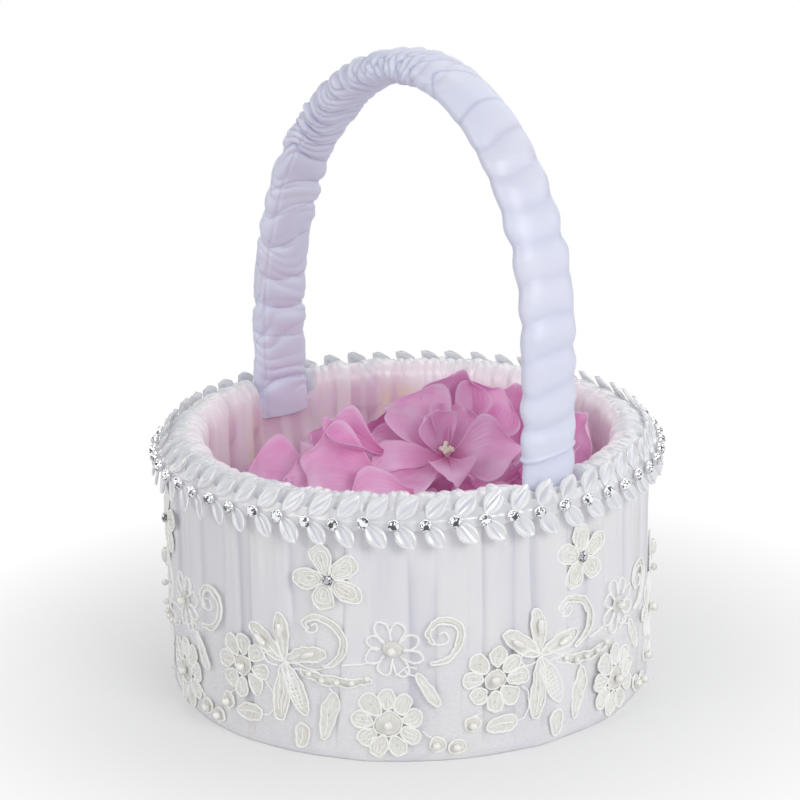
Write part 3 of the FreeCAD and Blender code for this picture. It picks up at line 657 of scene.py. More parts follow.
def base_cover(material):
    """The covered underside: a disc of satin drawn flat, its edge tucked under the hem."""
    radius = np.linspace(1.0, high("base_cover", 0), 30)
    a, r = np.meshgrid(turns(240), radius)
    z = 0.25 + 0.12 * ring_noise(a, 41, 20, 60) * smooth(r, 60, 76)
    points = ring_points(r, a, np.maximum(z, 0.05))
    piece("base_cover_satin", sheet(points, -0.8, wrap_cols=True), material,
          ("base_cover",))


def floor_pad(material):
    """A thin quilted pad on the board, with a soft crown and a rounded rim."""
    top = high("floor_pad")
    edge = high("floor_pad", 0)
    a, k = np.meshgrid(turns(240), np.linspace(0.02, 1, 40))
    r = edge * np.minimum(k, 0.985)
    ripple = 0.25 * np.sin(r * 0.42) * np.sin(a * 6) * smooth(r, 6, 20)
    z = top - 0.6 + 0.5 * (1 - k ** 2) + ripple - 1.8 * smooth(k, 0.93, 1.0)
    points = ring_points(r, a, z)
    piece("floor_pad_satin", sheet(points, 0.9, wrap_cols=True), material,
          ("floor_pad",))


# --- handle ---------------------------------------------------------------------------------

SLEEVE_WIDE = 10.5  # half the sleeve's width, along Y
SLEEVE_THICK = 4.6  # half its thickness
SLEEVE_SIDES = 112
PUFF_PITCH = 13.4
SEAM_TURN = 3.85  # where the left leg's lengthwise seam lies round the sleeve, in radians
HEM_Z = 98.5  # the hem round the right leg
HEM_SLANT = 0.14


def arch_path(step):
    """Points, outward normals and lengths along the handle's middle line, from -X to +X foot."""
    points = []
    for side in (-1, 1):
        leg, spring = side * LEG_X, SPRING_Z[side]
        span, rise = abs(leg - CROWN_X), CROWN_Z - spring
        t = np.linspace(0, math.pi / 2, 400)
        curve = np.stack([CROWN_X + side * span * np.cos(t), spring + rise * np.sin(t)], 1)
        straight = np.linspace(SLEEVE_FOOT, spring, 80, endpoint=False)
        upright = np.stack([np.full(80, leg), straight], 1)
        half = np.concatenate([upright, curve])
        points.append(half if side < 0 else half[-2::-1])
    path = np.concatenate(points)
    length = length_along(path)
    even = np.linspace(0, length[-1], int(length[-1] / step))
    path = np.stack([np.interp(even, length, path[:, k]) for k in (0, 1)], 1)
    ahead = units(np.gradient(path, axis=0))
    out = np.stack([-ahead[:, 1], ahead[:, 0]], 1)
    return path, out, even


def sleeve_phase(share, total):
    """Where each stretch of the sleeve is in its run of puffs, and how ruched it is."""
    tight = smooth(share, 0.27, 0.34) * (1 - smooth(share, 0.50, 0.60))
    calm = smooth(share, 0.57, 0.68)
    uneven = 2.8 * np.sin(share * 47.0) * (1 - calm) * (1 - tight)
    pitch = PUFF_PITCH - 1.6 * calm - 7.2 * tight + uneven
    steps = np.concatenate([[0], np.cumsum(np.diff(share) * total / pitch[1:])])
    return steps * math.pi, tight, calm


def around_noise(t, s, seed, most, pace, count=7):
    """Smooth noise on the sleeve: up to most whole waves round it, any waves along it."""
    rng = np.random.default_rng(seed)
    total = np.zeros_like(t + s)
    for _ in range(count):
        k = rng.integers(0, most + 1)
        total += np.cos(k * t + s / (pace * rng.uniform(0.6, 1.6)) + rng.uniform(0, ABOUT_A_TURN))
    return total / math.sqrt(count)


def puffs(phase, sharp):
    """Round puffs between narrow creases, from 0 in a crease to 1 on a puff."""
    return np.abs(np.sin(phase)) ** sharp


def sleeve_folds(t, s, share, phase, tight, calm):
    """How far the satin puffs out or sinks in, and the painted shade of its creases: large folds on the
    left leg, ruching over the crown where tight is 1, and broad puffs on the right leg where calm is 1."""
    cos = np.cos(t)
    left = 1 - smooth(share, 0.3, 0.5)
    wander = 0.26 + 1.05 * tight + 0.34 * left * (1 - tight)
    warp = ((0.35 * calm + 0.8 * tight) * cos + wander * 1.15 * around_noise(t, s, 401, 2, 9.0)
            + 0.5 * tight * around_noise(t, s, 402, 3, 4.0))
    opened = puffs(phase + warp, 0.5 + 0.35 * tight + 0.9 * calm)
    big = opened - 0.76 + 0.09 * tight + 0.2 * calm
    small = puffs(phase * 2.3 + 2.0 * around_noise(t, s, 403, 3, 6.0), 0.8) - 0.6
    fade = 0.62 + 0.48 * around_noise(t, s, 404, 2, 7.0)
    deep_fold = 3.0 * left * (1 - tight) + 2.7 * tight + 1.35 * calm
    swell = deep_fold * big * np.clip(fade, 0.3, 1.35)
    swell += small * (1.25 * tight + left * (1 - tight) * (0.25 + 1.7 * (1 - opened)) + 0.05)
    swell += 0.26 * around_noise(t, s, 405, 4, 2.4, 9) * (0.3 + tight)
    swell -= 0.55 * left * np.exp(-((t - SEAM_TURN) / 0.07) ** 2)
    # Painted shade: sharp creases, the ruching's small folds and the right leg's shallow creases get a
    # darker blue-lilac tint in the material.
    sharp = np.clip((0.36 - opened) * 2.6, 0, 1) * (0.75 + 0.25 * tight) * (1 - calm)
    creases = sharp + 0.9 * np.clip(-small, 0, 0.6) * tight + 0.20 * calm * (1 - opened) ** 2
    return swell, creases


def on_arch(path, out, across, off):
    """Points beside the handle's middle line: across along Y, off along its outward normal."""
    return np.stack([path[:, :1] + out[:, :1] * off, across, path[:, 1:] + out[:, 1:] * off], 2)


def handle_sleeve(material):
    """The gathered sleeve: a flattened tube along the bow, with flared tails at both feet."""
    path, out, even = arch_path(0.42)
    t, s = np.meshgrid(turns(SLEEVE_SIDES), even)
    share = s / even[-1]
    phase, tight, calm = [v[:, None] for v in sleeve_phase(share[:, 0], even[-1])]
    swell, creases = sleeve_folds(t, s, share, phase, tight, calm)
    cos, sin = np.cos(t), np.sin(t)
    foot = 1 - smooth(share, 0.0, 0.05)
    flare = foot + smooth(share, 0.985, 1.0)
    swell = np.clip(swell, -0.6 - 1.7 * (1 - abs(cos)), 1.7 - 0.5 * tight) * (1 - 0.6 * foot)
    hem = path[:, 1:] - HEM_Z - HEM_SLANT * SLEEVE_WIDE * cos
    swell += calm * (0.9 * np.exp(-(hem / 0.7) ** 2) - 0.5 * (1 - smooth(hem, -0.6, 0.2)))
    wide = SLEEVE_WIDE + 0.5 * flare
    thick = SLEEVE_THICK + 0.5 * tight
    y = wide * np.sign(cos) * abs(cos) ** 0.88
    n = thick * np.sign(sin) * abs(sin) ** 0.92
    norm = np.hypot(y / wide ** 2, n / thick ** 2)
    edge = 0.8 + 0.2 * cos ** 2
    y = y + swell * edge * (y / wide ** 2) / norm + 0.22 * around_noise(t * 0, s, 406, 0, 11.0, 3)
    n = n + swell * edge * (n / thick ** 2) / norm + 0.25 * around_noise(t * 0, s, 407, 0, 13.0, 3)
    part = sheet(on_arch(path, out, y, n), -0.45, wrap_cols=True)
    piece("handle_sleeve_satin", part, material, ("handle_sleeve",),
          marks={"fold_shade": creases.ravel()})


def handle_padding(material):
    """Wadding wrapped round the bow, flattened by the sleeve drawn over it."""
    path, out, even = arch_path(2.0)
    start = even > high("wall_lining") - SLEEVE_FOOT + 6
    path, out = path[start & start[::-1]], out[start & start[::-1]]
    t, s = np.meshgrid(turns(32), np.arange(len(path)))
    bump = 1 + 0.04 * around_noise(t, s, 411, 4, 3.0)
    part = sheet(on_arch(path, out, 8.0 * np.cos(t) * bump, 2.7 * np.sin(t) * bump), -0.8,
                 wrap_cols=True)
    piece("handle_wadding", part, material, ("handle_padding",))


# --- rim trim -------------------------------------------------------------------------------


def leaf_part(length, width, blunt, rim):
    """One pressed leaf from its base along +x, facing +z: a raised rim round a hollow middle."""
    a, b = np.meshgrid(np.linspace(0, 1, 26), np.linspace(-1, 1, 19), indexing="ij")
    grow = np.sin(math.pi * np.clip(a, 0.004, 0.996) ** (0.9 + 0.25 * blunt)) ** (0.85 - 0.3 * blunt)
    half = width / 2 * grow
    x = length * a
    y = half * b
    bulge = np.exp(-((abs(b) - 0.74) / 0.17) ** 2) * smooth(grow, 0.05, 0.6)
    crease = 0.22 * np.sin(9 * b + 5 * a) * (1 - smooth(abs(b), 0.4, 0.6)) * smooth(grow, 0.3, 0.8)
    lift = 0.28 + rim * bulge * (0.8 + 0.4 * a) + crease * 0.5 + 0.9 * a ** 2
    top = np.stack([x, y, lift], 2)
    under = np.stack([x, y, 0.9 * a ** 2 - 0.05], 2)
    count = a.size
    face = quads(*a.shape)[:, ::-1]
    verts = np.concatenate([top.reshape(-1, 3), under.reshape(-1, 3)])
    rows, cols = a.shape
    ring = np.concatenate([np.arange(cols), np.arange(1, rows) * cols + cols - 1,
                           (rows - 1) * cols + np.arange(cols - 2, -1, -1),
                           np.arange(rows - 2, 0, -1) * cols])
    after = np.roll(ring, -1)
    wall = np.stack([ring, after, after + count, ring + count], 1)
    # Painted shade for the hollow middle, in stripes, passed on as a mark for the material to tint.
    hollow_shade = (1 - smooth(abs(b), 0.45, 0.65)) * smooth(grow, 0.35, 0.8) * (0.5 + 0.5 * np.sin(6 * b + 4 * a))
    marks = np.tile(hollow_shade.ravel(), 2)
    return (verts, np.concatenate([face, face[:, ::-1] + count, wall])), marks


# length, width, bluntness and rim of a leaf, then the way its row runs and the way it faces
UPPER_LEAF = (10.2, 6.2, 0.1, 0.85)
LOWER_LEAF = (9.2, 6.2, 0.8, 0.6)
UPPER_RUN = (-0.56, 0, 0.828)
UPPER_OUT = (0.828, 0, 0.56)
LOWER_RUN = (0.12, 0, -0.993)
LOWER_OUT = (0.993, 0, 0.12)
LEAF_LEAN = math.radians(42.0)
TAPE_FOLD_Z = high("trim_tape") - 4.2
RIM_STONE_R = 1.8


def leaf_row(name, leaf, run, out, root_z, gap, material, replaces, seed):
    """A ring of leaves, one to a stone, all leaning the same way, each a little different."""
    part, hollow_shade = leaf_part(*leaf)
    rng = np.random.default_rng(seed)
    copies = []
    for k in range(STONES):
        lean = LEAF_LEAN + rng.normal(0, 0.05)
        tip = np.array(run) * math.cos(lean) + np.array([0, math.sin(lean), 0])
        face = unit(np.array(out) + np.array([0, rng.normal(0, 0.08), 0]))
        face = unit(face - tip * (face @ tip))
        axes = (tip, np.cross(face, tip), face)
        root = np.array([TRIM_FOOT_R + 0.9, 0, root_z]) + tip * gap
        size = 1 + rng.normal(0, 0.025)
        made = moved((part[0] * size, part[1]), root, axes)
        copies.append(turned(made, FIRST_STONE + k * 2 * math.pi / STONES))
    piece(name, join(copies), material, replaces,
          marks={"hollow_shade": np.tile(hollow_shade, STONES)})


def trim_tape(material):
    """The half-clear scalloped tape that shows behind the leaves."""
    k, a = np.meshgrid(np.linspace(0, 1, 22), turns(AROUND))
    scallop = 0.5 + 0.5 * np.cos((a - FIRST_STONE - 0.05) * STONES)
    drop = np.array(LOWER_RUN)
    lean = np.array(UPPER_RUN)
    below = -(2.6 + 1.2 * scallop)
    above = 3.4 + 1.6 * scallop
    s = below + (above - below) * k
    r = TRIM_FOOT_R + 0.75 + np.where(s < 0, -s * drop[0], s * lean[0])
    z = TAPE_FOLD_Z + np.where(s < 0, -s * drop[2], s * lean[2])
    r += 0.12 * ring_noise(a, 45, 60, 180)
    points = ring_points(r, a, z)
    piece("trim_tape_satin", sheet(points, -0.18, wrap_rows=True), material,
          ("trim_tape",), marks={"hollow_shade": 0.0})


def stone_part(radius, tall):
    """A round brilliant: table, two rings of facets, and a point below."""
    def circle(count, r, h, shift=0.0):
        t = turns(count, shift)
        return np.stack([r * np.cos(t), r * np.sin(t), np.full(count, h)], 1)

    table = circle(8, radius * 0.52, tall)
    middle = circle(8, radius * 0.80, tall * 0.62, 0.5)
    girdle = circle(16, radius, tall * 0.08)
    verts = np.concatenate([table, middle, girdle, [[0, 0, tall], [0, 0, -radius * 0.8]]])
    first_girdle, top, bottom = 16, 32, 33
    faces = []
    for k in range(8):
        after, waist = (k + 1) % 8, 8 + k
        left, right, next_left = [first_girdle + (2 * k + step) % 16 for step in range(3)]
        for a, b, c in ((top, k, after), (k, waist, after), (waist, left, right),
                        (waist, right, next_left), (k, left, waist), (after, waist, next_left)):
            faces.append([a, b, c, c])
    for k in range(16):
        faces.append([first_girdle + (k + 1) % 16, first_girdle + k, bottom, bottom])
    return verts, np.array(faces)


def cup_part(radius):
    """A turned silver cup with four small claws over the stone."""
    section = [(0.2, 0.0), (radius + 0.2, 0.0), (radius + 0.32, 0.5), (radius + 0.26, 1.25),
               (radius + 0.02, 1.3), (radius - 0.02, 0.9), (0.2, 0.35)]
    sides = 20
    t = turns(sides)
    rings = [np.stack([r * np.cos(t), r * np.sin(t), np.full(sides, h)], 1) for r, h in section]
    parts = [(np.concatenate(rings), quads(len(section), sides, True, True))]
    for k in range(4):
        turn = k * math.pi / 2 + 0.4
        out = np.array([math.cos(turn), math.sin(turn), 0])
        path = [out * (radius + 0.25) + [0, 0, 1.0], out * (radius + 0.12) + [0, 0, 1.5],
                out * (radius - 0.25) + [0, 0, 1.75]]
        parts.append(tube(path, [out] * 3, [0.22, 0.24, 0.12]))
    return join(parts)


def rim_stones(glass, silver):
    """Stones in cups between the two rows of leaves, each set a little crooked."""
    rng = np.random.default_rng(88)
    stone, cup = stone_part(RIM_STONE_R, 1.0), cup_part(RIM_STONE_R)
    foot = TRIM_FOOT_R + 1.75
    stones, cups = [], []
    for k in range(STONES):
        spin = rng.uniform(0, math.pi)
        out = unit([1, rng.normal(0, 0.07), rng.normal(0, 0.07)])
        side = unit(np.cross([0, 0, 1], out))
        side = side * math.cos(spin) + np.cross(out, side) * math.sin(spin)
        axes = (side, np.cross(out, side), out)
        angle = FIRST_STONE + k * 2 * math.pi / STONES
        shift = np.array([0, rng.normal(0, 0.2), rng.normal(0, 0.25)])
        place = np.array([foot, 0, TRIM_Z]) + shift
        stones.append(turned(moved(stone, place + out * 1.3, axes), angle))
        cups.append(turned(moved(cup, place, axes), angle))
    piece("rim_stones_cut", join(stones), glass, ("rim_stones",), flat=True)
    piece("stone_cups_silver", join(cups), silver, ("stone_cups",))


# --- lace -----------------------------------------------------------------------------------
# Lace is drawn flat, u along the wall from the middle of its repeat and v above the table, and
# then wrapped. A drawing is a list of strokes; every stroke is a cord, a filled pad or both.

CORD = 0.35  # radius of the thickest cords
LACE_LIFT = 0.35


def on_wall(flat, lift, repeat_angle):
    """Points in the frame, and outward directions, for flat points laid on the wall."""
    flat = np.asarray(flat, float)
    angle = repeat_angle + flat[:, 0] / COVER_R
    out = np.stack([np.cos(angle), np.sin(angle), np.zeros(len(flat))], 1)
    points = out * np.reshape(NET_R + lift, (-1, 1))
    points[:, 2] = flat[:, 1]
    return points, out


def length_along(flat):
    return np.concatenate([[0], np.cumsum(np.linalg.norm(np.diff(flat, axis=0), axis=1))])


def evenly(flat, step=0.55, closed=False):
    """The same line with points at even steps."""
    flat = np.asarray(flat, float)
    if closed:
        flat = np.concatenate([flat, flat[:1]])
    length = length_along(flat)
    count = max(8, int(length[-1] / step))
    at = np.linspace(0, length[-1], count + 1)
    if closed:
        at = at[:-1]
    return np.stack([np.interp(at, length, flat[:, k]) for k in (0, 1)], 1)


def curve_through(points, closed=False, steps=10):
    """A smooth line through a few points."""
    p = np.asarray(points, float)
    count = len(p)
    out = []
    for i in range(count if closed else count - 1):
        if closed:
            a, b, c, d = p[(i - 1) % count], p[i], p[(i + 1) % count], p[(i + 2) % count]
        else:
            a, b, c, d = p[max(i - 1, 0)], p[i], p[i + 1], p[min(i + 2, count - 1)]
        t = np.linspace(0, 1, steps, endpoint=False)[:, None]
        out.append(0.5 * (2 * b + (c - a) * t + (2 * a - 5 * b + 4 * c - d) * t ** 2
                          + (3 * b - a - 3 * c + d) * t ** 3))
    if not closed:
        out.append(p[-1:])
    return np.concatenate(out)


def spun(flat, degrees, place=(0, 0)):
    """A flat line turned and then put at a place."""
    t = math.radians(degrees)
    c, s = math.cos(t), math.sin(t)
    return np.asarray(flat, float) @ np.array([[c, s], [-s, c]]) + np.asarray(place, float)


def flat_circle(radius, count, place):
    t = turns(count)
    return np.stack([radius * np.cos(t), radius * np.sin(t)], 1) + place


def petal_line(length, width, neck=0.0, lean=0.0):
    """A closed petal outline along +u from its neck, widest towards its tip."""
    t = turns(26)
    along = 0.5 - 0.5 * np.cos(t)
    across = width / 2 * np.sin(t) * (0.62 + 0.38 * along)
    return np.stack([neck + (length - neck) * along, across + lean * along ** 2], 1)


class Lace:
    """Collects the cords and pads of one kind of motif over all repeats."""

    def __init__(self, seed):
        self.rng = np.random.default_rng(seed)
        self.cords, self.pads = [], []
        self.pulls = self.rng.uniform(-1, 1, (5, 5))

    def pulled(self, flat, angle):
        """Hand-worked unevenness: lace drawn a little out of shape, its own way in each repeat."""
        flat = np.array(flat, float)
        for along, up, u_shift, v_shift, phase in self.pulls:
            wave = np.sin(flat[:, 0] * (0.35 + 0.5 * along) + flat[:, 1] * (0.3 + 0.6 * up)
                          + 3 * phase + 7 * angle)
            flat = flat + 0.26 * wave[:, None] * np.array([u_shift, v_shift])
        return flat

    def wobble(self, flat, amount):
        """Small shifts of a line's points, each shared with its neighbours."""
        shift = self.rng.normal(0, amount, flat.shape)
        return flat + (shift + np.roll(shift, 1, 0) + np.roll(shift, -1, 0)) / 2

    def cord(self, flat, angle, closed=False, radius=CORD, lift=LACE_LIFT):
        """A cord of slightly uneven thickness along a flat line."""
        line = self.wobble(self.pulled(evenly(flat, closed=closed), angle), 0.13)
        rope = radius * (1 + self.rng.normal(0, 0.09, len(line)))
        points, out = on_wall(line, lift, angle)
        self.cords.append(tube(points, out, rope, closed))

    def pad(self, flat, angle, tall=0.16, lift=0.1, ribs=0):
        """A low stitched dome over a closed outline, with a flat back."""
        line = self.pulled(flat, angle)
        centre = line.mean(0)
        rings = [1.0, 0.86, 0.66, 0.44, 0.22, 0.04]
        verts = []
        for share in rings:
            ring = centre + (line - centre) * share
            height = lift + tall * (1 - share ** 2.2)
            if ribs:
                spin = np.arctan2(*(line - centre).T[::-1])
                height = height + 0.09 * np.cos(ribs * spin) * (1 - share ** 2)
            points, _ = on_wall(ring, np.broadcast_to(height, (len(ring),)), angle)
            verts.append(points)
        for share in (rings[-1], rings[0]):
            points, _ = on_wall(centre + (line - centre) * share, lift - 0.05, angle)
            verts.append(points)
        self.pads.append((np.concatenate(verts), quads(len(verts), len(line), True, True)))

    def build(self, node, cord_material, pad_material):
        piece(node + "_cords", join(self.cords), cord_material, (node,))
        piece(node + "_pads", join(self.pads), pad_material)


def lines_in_petal(length, width, neck, count):
    """Strands along a petal, inside its outline."""
    lines = []
    for k in range(count):
        b = (k + 1) / (count + 1) * 2 - 1
        t = np.linspace(0.12, 0.86 - 0.14 * abs(b), 8)
        lines.append(np.stack([neck + (length - neck) * t,
                               b * width * 0.46 * np.sin(math.pi * t ** 0.8) ** 0.7], 1))
    return lines


def daisy(lace, place, angle, petals, length, width, neck, turn, strands, disc):
    """Separate looped petals round a middle disc."""
    for k in range(petals):
        at = turn + k * 360.0 / petals + lace.rng.normal(0, 2.0)
        size = length * (1 + lace.rng.normal(0, 0.04))
        outline = spun(petal_line(size, width, neck), at, place)
        lace.cord(outline, angle, closed=True)
        lace.pad(outline, angle)
        if k % 4 != 1:
            for line in lines_in_petal(size, width, neck, strands):
                lace.cord(spun(line, at, place), angle, radius=CORD * 0.5)
    circle = flat_circle(disc, 28, place)
    lace.pad(circle, angle, tall=0.28, lift=0.15, ribs=14)
    lace.cord(circle, angle, closed=True, radius=CORD * 0.7, lift=0.5)


LARGE_DAISY = (18.6, 14.3)
SMALL_DAISY = (20.0, 40.5)
ROUND_FLOWER = (-33.7, 27.5)
IRIS = (-17.0, 33.0)
SCROLLS = (
    ((-7.5, 45.3), (-9.0, 47.6), (-5.5, 49.6), (0.0, 48.3), (4.4, 43.5), (4.2, 38.0), (1.0, 34.0),
     (-3.0, 32.6)),
    ((34.0, 42.0), (32.0, 45.8), (34.5, 49.2), (39.5, 49.4), (42.6, 45.6), (41.6, 40.5),
     (38.0, 36.5), (32.6, 35.2)),
)
VINE = ((-11.2, 30.3), (-5.0, 28.7), (2.0, 28.0), (8.0, 28.4), (13.5, 29.6))
# way in degrees, length and width
IRIS_PETALS = ((144, 16.5, 7.0), (92, 16.8, 6.4), (21, 16.0, 6.4), (-68, 19.5, 7.2), (-94, 22.0, 7.0))
# middle (u, v), length, width and way in degrees
LACE_LEAVES = ((-1.2, 15.8, 17.5, 6.4, 76), (31.6, 26.0, 13.5, 4.8, -60), (-10.8, 7.6, 9.0, 6.4, 80),
               (-31.5, 11.4, 11.0, 7.2, 5))
LOOPS = ((34.3, 6.9), (40.8, 5.8), (-41.2, 12.7))
PEARL_LOOP_R = 2.75
SEEDS = (-7.4, -2.6, 2.0, 7.0, 12.0)


def large_daisy(lace, angle):
    daisy(lace, LARGE_DAISY, angle, petals=9, length=12.2, width=7.0, neck=4.6, turn=92, strands=3,
          disc=4.3)


def round_flower(lace, angle):
    daisy(lace, ROUND_FLOWER, angle, petals=8, length=11.2, width=6.8, neck=4.2, turn=88, strands=2,
          disc=3.6)


def small_daisy(lace, angle):
    """An open daisy drawn with one running cord that dips in between its narrow petals."""
    reach = 9.3 * (1 + lace.rng.normal(0, 0.05, 8))
    points = []
    for k in range(8):
        at = 45.0 * k + 70 + lace.rng.normal(0, 3)
        points += list(spun([(3.4, -1.6), (reach[k] * 0.8, -2.2), (reach[k], 0.2),
                             (reach[k] * 0.78, 2.1), (3.5, 1.5)], at, SMALL_DAISY))
    outline = curve_through(points, closed=True, steps=5)
    lace.cord(outline, angle, closed=True)
    lace.pad(flat_circle(3.0, 24, SMALL_DAISY), angle)


def iris(lace, angle):
    for k, (way, length, width) in enumerate(IRIS_PETALS):
        outline = spun(petal_line(length, width, 0.6, lean=0.8 if k % 2 else -0.6), way, IRIS)
        lace.cord(outline, angle, closed=True)
        lace.pad(outline, angle)
        for line in lines_in_petal(length, width, 1.0, 1 if k < 3 else 3):
            lace.cord(spun(line, way, IRIS), angle, radius=CORD * 0.6)
        if k == 3:
            for step in np.linspace(0.25, 0.85, 9):
                rung = [(length * step, -width * 0.32), (length * step + 0.7, width * 0.32)]
                lace.cord(spun(rung, way, IRIS), angle, radius=CORD * 0.6)
    twig = curve_through([(-17, 33), (-21.5, 35.6), (-24.4, 33.6), (-23.0, 31.0), (-18.5, 31.4)])
    lace.cord(twig, angle)


def leaves(lace, angle):
    for u, v, length, width, way in LACE_LEAVES:
        outline = spun(petal_line(length, width), way, (0, 0))
        outline = outline - outline.mean(0) + (u, v)
        lace.cord(outline, angle, closed=True)
        lace.pad(outline, angle, tall=0.2)
        vein = spun([(-length * 0.4, 0), (0, 0.3), (length * 0.38, 0)], way, (u, v))
        lace.cord(vein, angle, radius=CORD * 0.6)


def offset_line(flat, distance):
    """A flat line moved sideways, leftwards where distance is above 0."""
    ahead = units(np.gradient(flat, axis=0))
    distance = np.broadcast_to(distance, (len(flat),))
    return flat + np.stack([-ahead[:, 1], ahead[:, 0]], 1) * distance[:, None]


def ribbon(lace, points, half, angle):
    """Two cords with cloth between them, closed round at the ends."""
    middle = evenly(curve_through(points), 0.8)
    share = np.linspace(0, 1, len(middle))
    width = half * np.sin(math.pi * np.clip(share, 0.03, 0.97)) ** 0.35
    loop = np.concatenate([offset_line(middle, width), offset_line(middle, -width)[::-1]])
    lace.cord(loop, angle, closed=True)
    edges = [lace.pulled(offset_line(middle, way * width * 0.9), angle) for way in (1, -1)]
    lace.pads.append(sheet(np.stack([on_wall(edge, 0.12, angle)[0] for edge in edges]), 0.12))


CURLS = (
    ((-8.4, 44.6), (-5.8, 44.0), (-3.9, 45.6), (-4.8, 47.4), (-6.2, 46.4)),
    ((33.6, 41.8), (36.0, 41.6), (38.2, 43.2), (37.6, 45.6), (35.6, 45.4)),
)
STEMS = (
    ((23.6, 34.0), (25.6, 31.8), (28.6, 31.0)),
    ((-15.0, 31.4), (-13.4, 30.2), (-10.6, 30.6)),
    ((0.6, 27.0), (-0.2, 25.6), (0.4, 24.0)),
    ((29.6, 11.6), (31.6, 9.8), (33.0, 9.6)),
    ((-3.4, 32.2), (-6.0, 31.4), (-9.8, 31.6), (-13.6, 33.4)),
    ((28.4, 33.6), (24.8, 34.6), (22.8, 33.2), (20.8, 31.6)),
    ((-38.4, 17.2), (-40.4, 16.2), (-41.0, 15.8)),
    ((-24.2, 24.0), (-22.0, 21.0), (-21.4, 16.0), (-23.4, 12.4), (-26.0, 12.0)),
)


def scrolls(lace, angle):
    for points in SCROLLS:
        ribbon(lace, points, 1.15, angle)
    for points in CURLS:
        lace.cord(curve_through(points), angle, radius=CORD * 0.9)
    stem = curve_through([(3.8, 33.8), (8.0, 34.8), (12.5, 35.6)])
    lace.cord(stem, angle, radius=CORD * 0.9)
    for points in STEMS:
        lace.cord(curve_through(points), angle, radius=CORD * 0.75)


def vine(lace, angle):
    ribbon(lace, VINE, 1.7, angle)


def pearl_rings(lace, angle):
    for place in LOOPS:
        circle = flat_circle(PEARL_LOOP_R, 26, place)
        lace.cord(circle, angle, closed=True)
        lace.pad(circle, angle)


BLOSSOM_PETALS = 5
BLOSSOM_LENGTH = 11.6
BLOSSOM_WIDTH = 8.4
BLOSSOM_STONE_R = 1.75


def blossom(lace, angle):
    """A five-petalled blossom that stands a little off the satin."""
    turn = 96 + lace.rng.normal(0, 9)
    place = (lace.rng.normal(0, 0.4), BLOSSOM_Z)
    for k in range(BLOSSOM_PETALS):
        way = turn + 360 / BLOSSOM_PETALS * k + lace.rng.normal(0, 4)
        length, width = BLOSSOM_LENGTH * (1 + lace.rng.normal(0, 0.04)), BLOSSOM_WIDTH
        outline = spun(petal_line(length, width, 1.6), way, place)
        lace.cord(outline, angle, closed=True, radius=CORD * 0.95, lift=0.55)
        lace.pad(outline, angle, tall=0.25, lift=0.3)
        inner = spun(petal_line(length - 2.0, width - 2.8, 2.6), way, place)
        lace.cord(inner, angle, closed=True, radius=CORD * 0.55, lift=0.75)
        for line in lines_in_petal(length - 2.4, width - 3.4, 3.0, 2):
            lace.cord(spun(line, way, place), angle, radius=CORD * 0.5, lift=0.8)


def blossom_stones(glass):
    """The grey stone in the middle of each blossom."""
    stone = stone_part(BLOSSOM_STONE_R, 0.9)
    stones = []
    for angle in REPEAT_ANGLES:
        made = moved(stone, (NET_R + 1.5, 0, BLOSSOM_Z), ((0, 1, 0), (0, 0, 1), (1, 0, 0)))
        stones.append(turned(made, angle))
    piece("blossom_stones_cut", join(stones), glass, ("blossom_stones",), flat=True)


NET_LOW = 33.0  # height of the net's cut edge between the motifs
# place, half width and height of the rise over each motif; the last two are the next repeat's first
NET_RISES = ((-33.7, 11.0, 38.0), (-29.0, 5.0, 44.0), (-17.3, 4.4, 49.0), (-3.5, 9.0, 49.0),
             (20.0, 10.0, 48.6), (37.0, 7.5, 49.0), (54.2, 11.0, 38.0), (58.9, 5.0, 44.0))


def net_top(u):
    """Height of the net's cut edge: it rises over each motif and dips between them."""
    top = np.full_like(u, NET_LOW)
    for place, width, height in NET_RISES:
        bump = height - NET_LOW
        top = np.maximum(top, NET_LOW + bump * np.sqrt(np.clip(1 - ((u - place) / width) ** 2, 0, 1)))
    return top


def lace_net(material):
    """The sheer net that the lace is worked on."""
    angle = turns(AROUND)
    repeat = FULL_TURN / REPEATS
    u = ((angle - FIRST_REPEAT + repeat / 2) % repeat - repeat / 2) * COVER_R
    top = net_top(u)
    top = (top + np.roll(top, 1) + np.roll(top, -1) + np.roll(top, 2) + np.roll(top, -2)) / 5
    foot = low("lace_net") + 0.5 * ring_noise(angle, 51, 20, 60)
    k, a = np.meshgrid(np.linspace(0, 1, 30), angle)
    z = foot[:, None] + (top - foot)[:, None] * k
    r = NET_R - 0.02 + 0.05 * ring_noise(a, 53, 30, 90)
    points = ring_points(r, a, z)
    piece("lace_net_sheer", sheet(points, -0.1, wrap_rows=True), material,
          ("lace_net",))


def bead_part(radius, tall=1.0):
    """A pearl with small dimples at the two ends of its thread hole, which lies along y."""
    rows, sides = 13, 18
    t, a = np.meshgrid(np.linspace(0.10, math.pi - 0.10, rows), turns(sides), indexing="ij")
    dimple = 1 - 0.12 * np.exp(-((np.sin(t)) / 0.18) ** 2)
    r = radius * np.sin(t)
    y = radius * np.cos(t) * dimple * tall
    verts = np.stack([r * np.cos(a), y, r * np.sin(a)], 2).reshape(-1, 3)
    hubs = np.array([[0, verts[0][1] * 0.7, 0], [0, verts[-1][1] * 0.7, 0]])
    hub = len(verts)
    faces = [quads(rows, sides, False, True), fan(sides, 0, hub, flip=True),
             fan(sides, (rows - 1) * sides, hub + 1)]
    return np.concatenate([verts, hubs]), np.concatenate(faces)


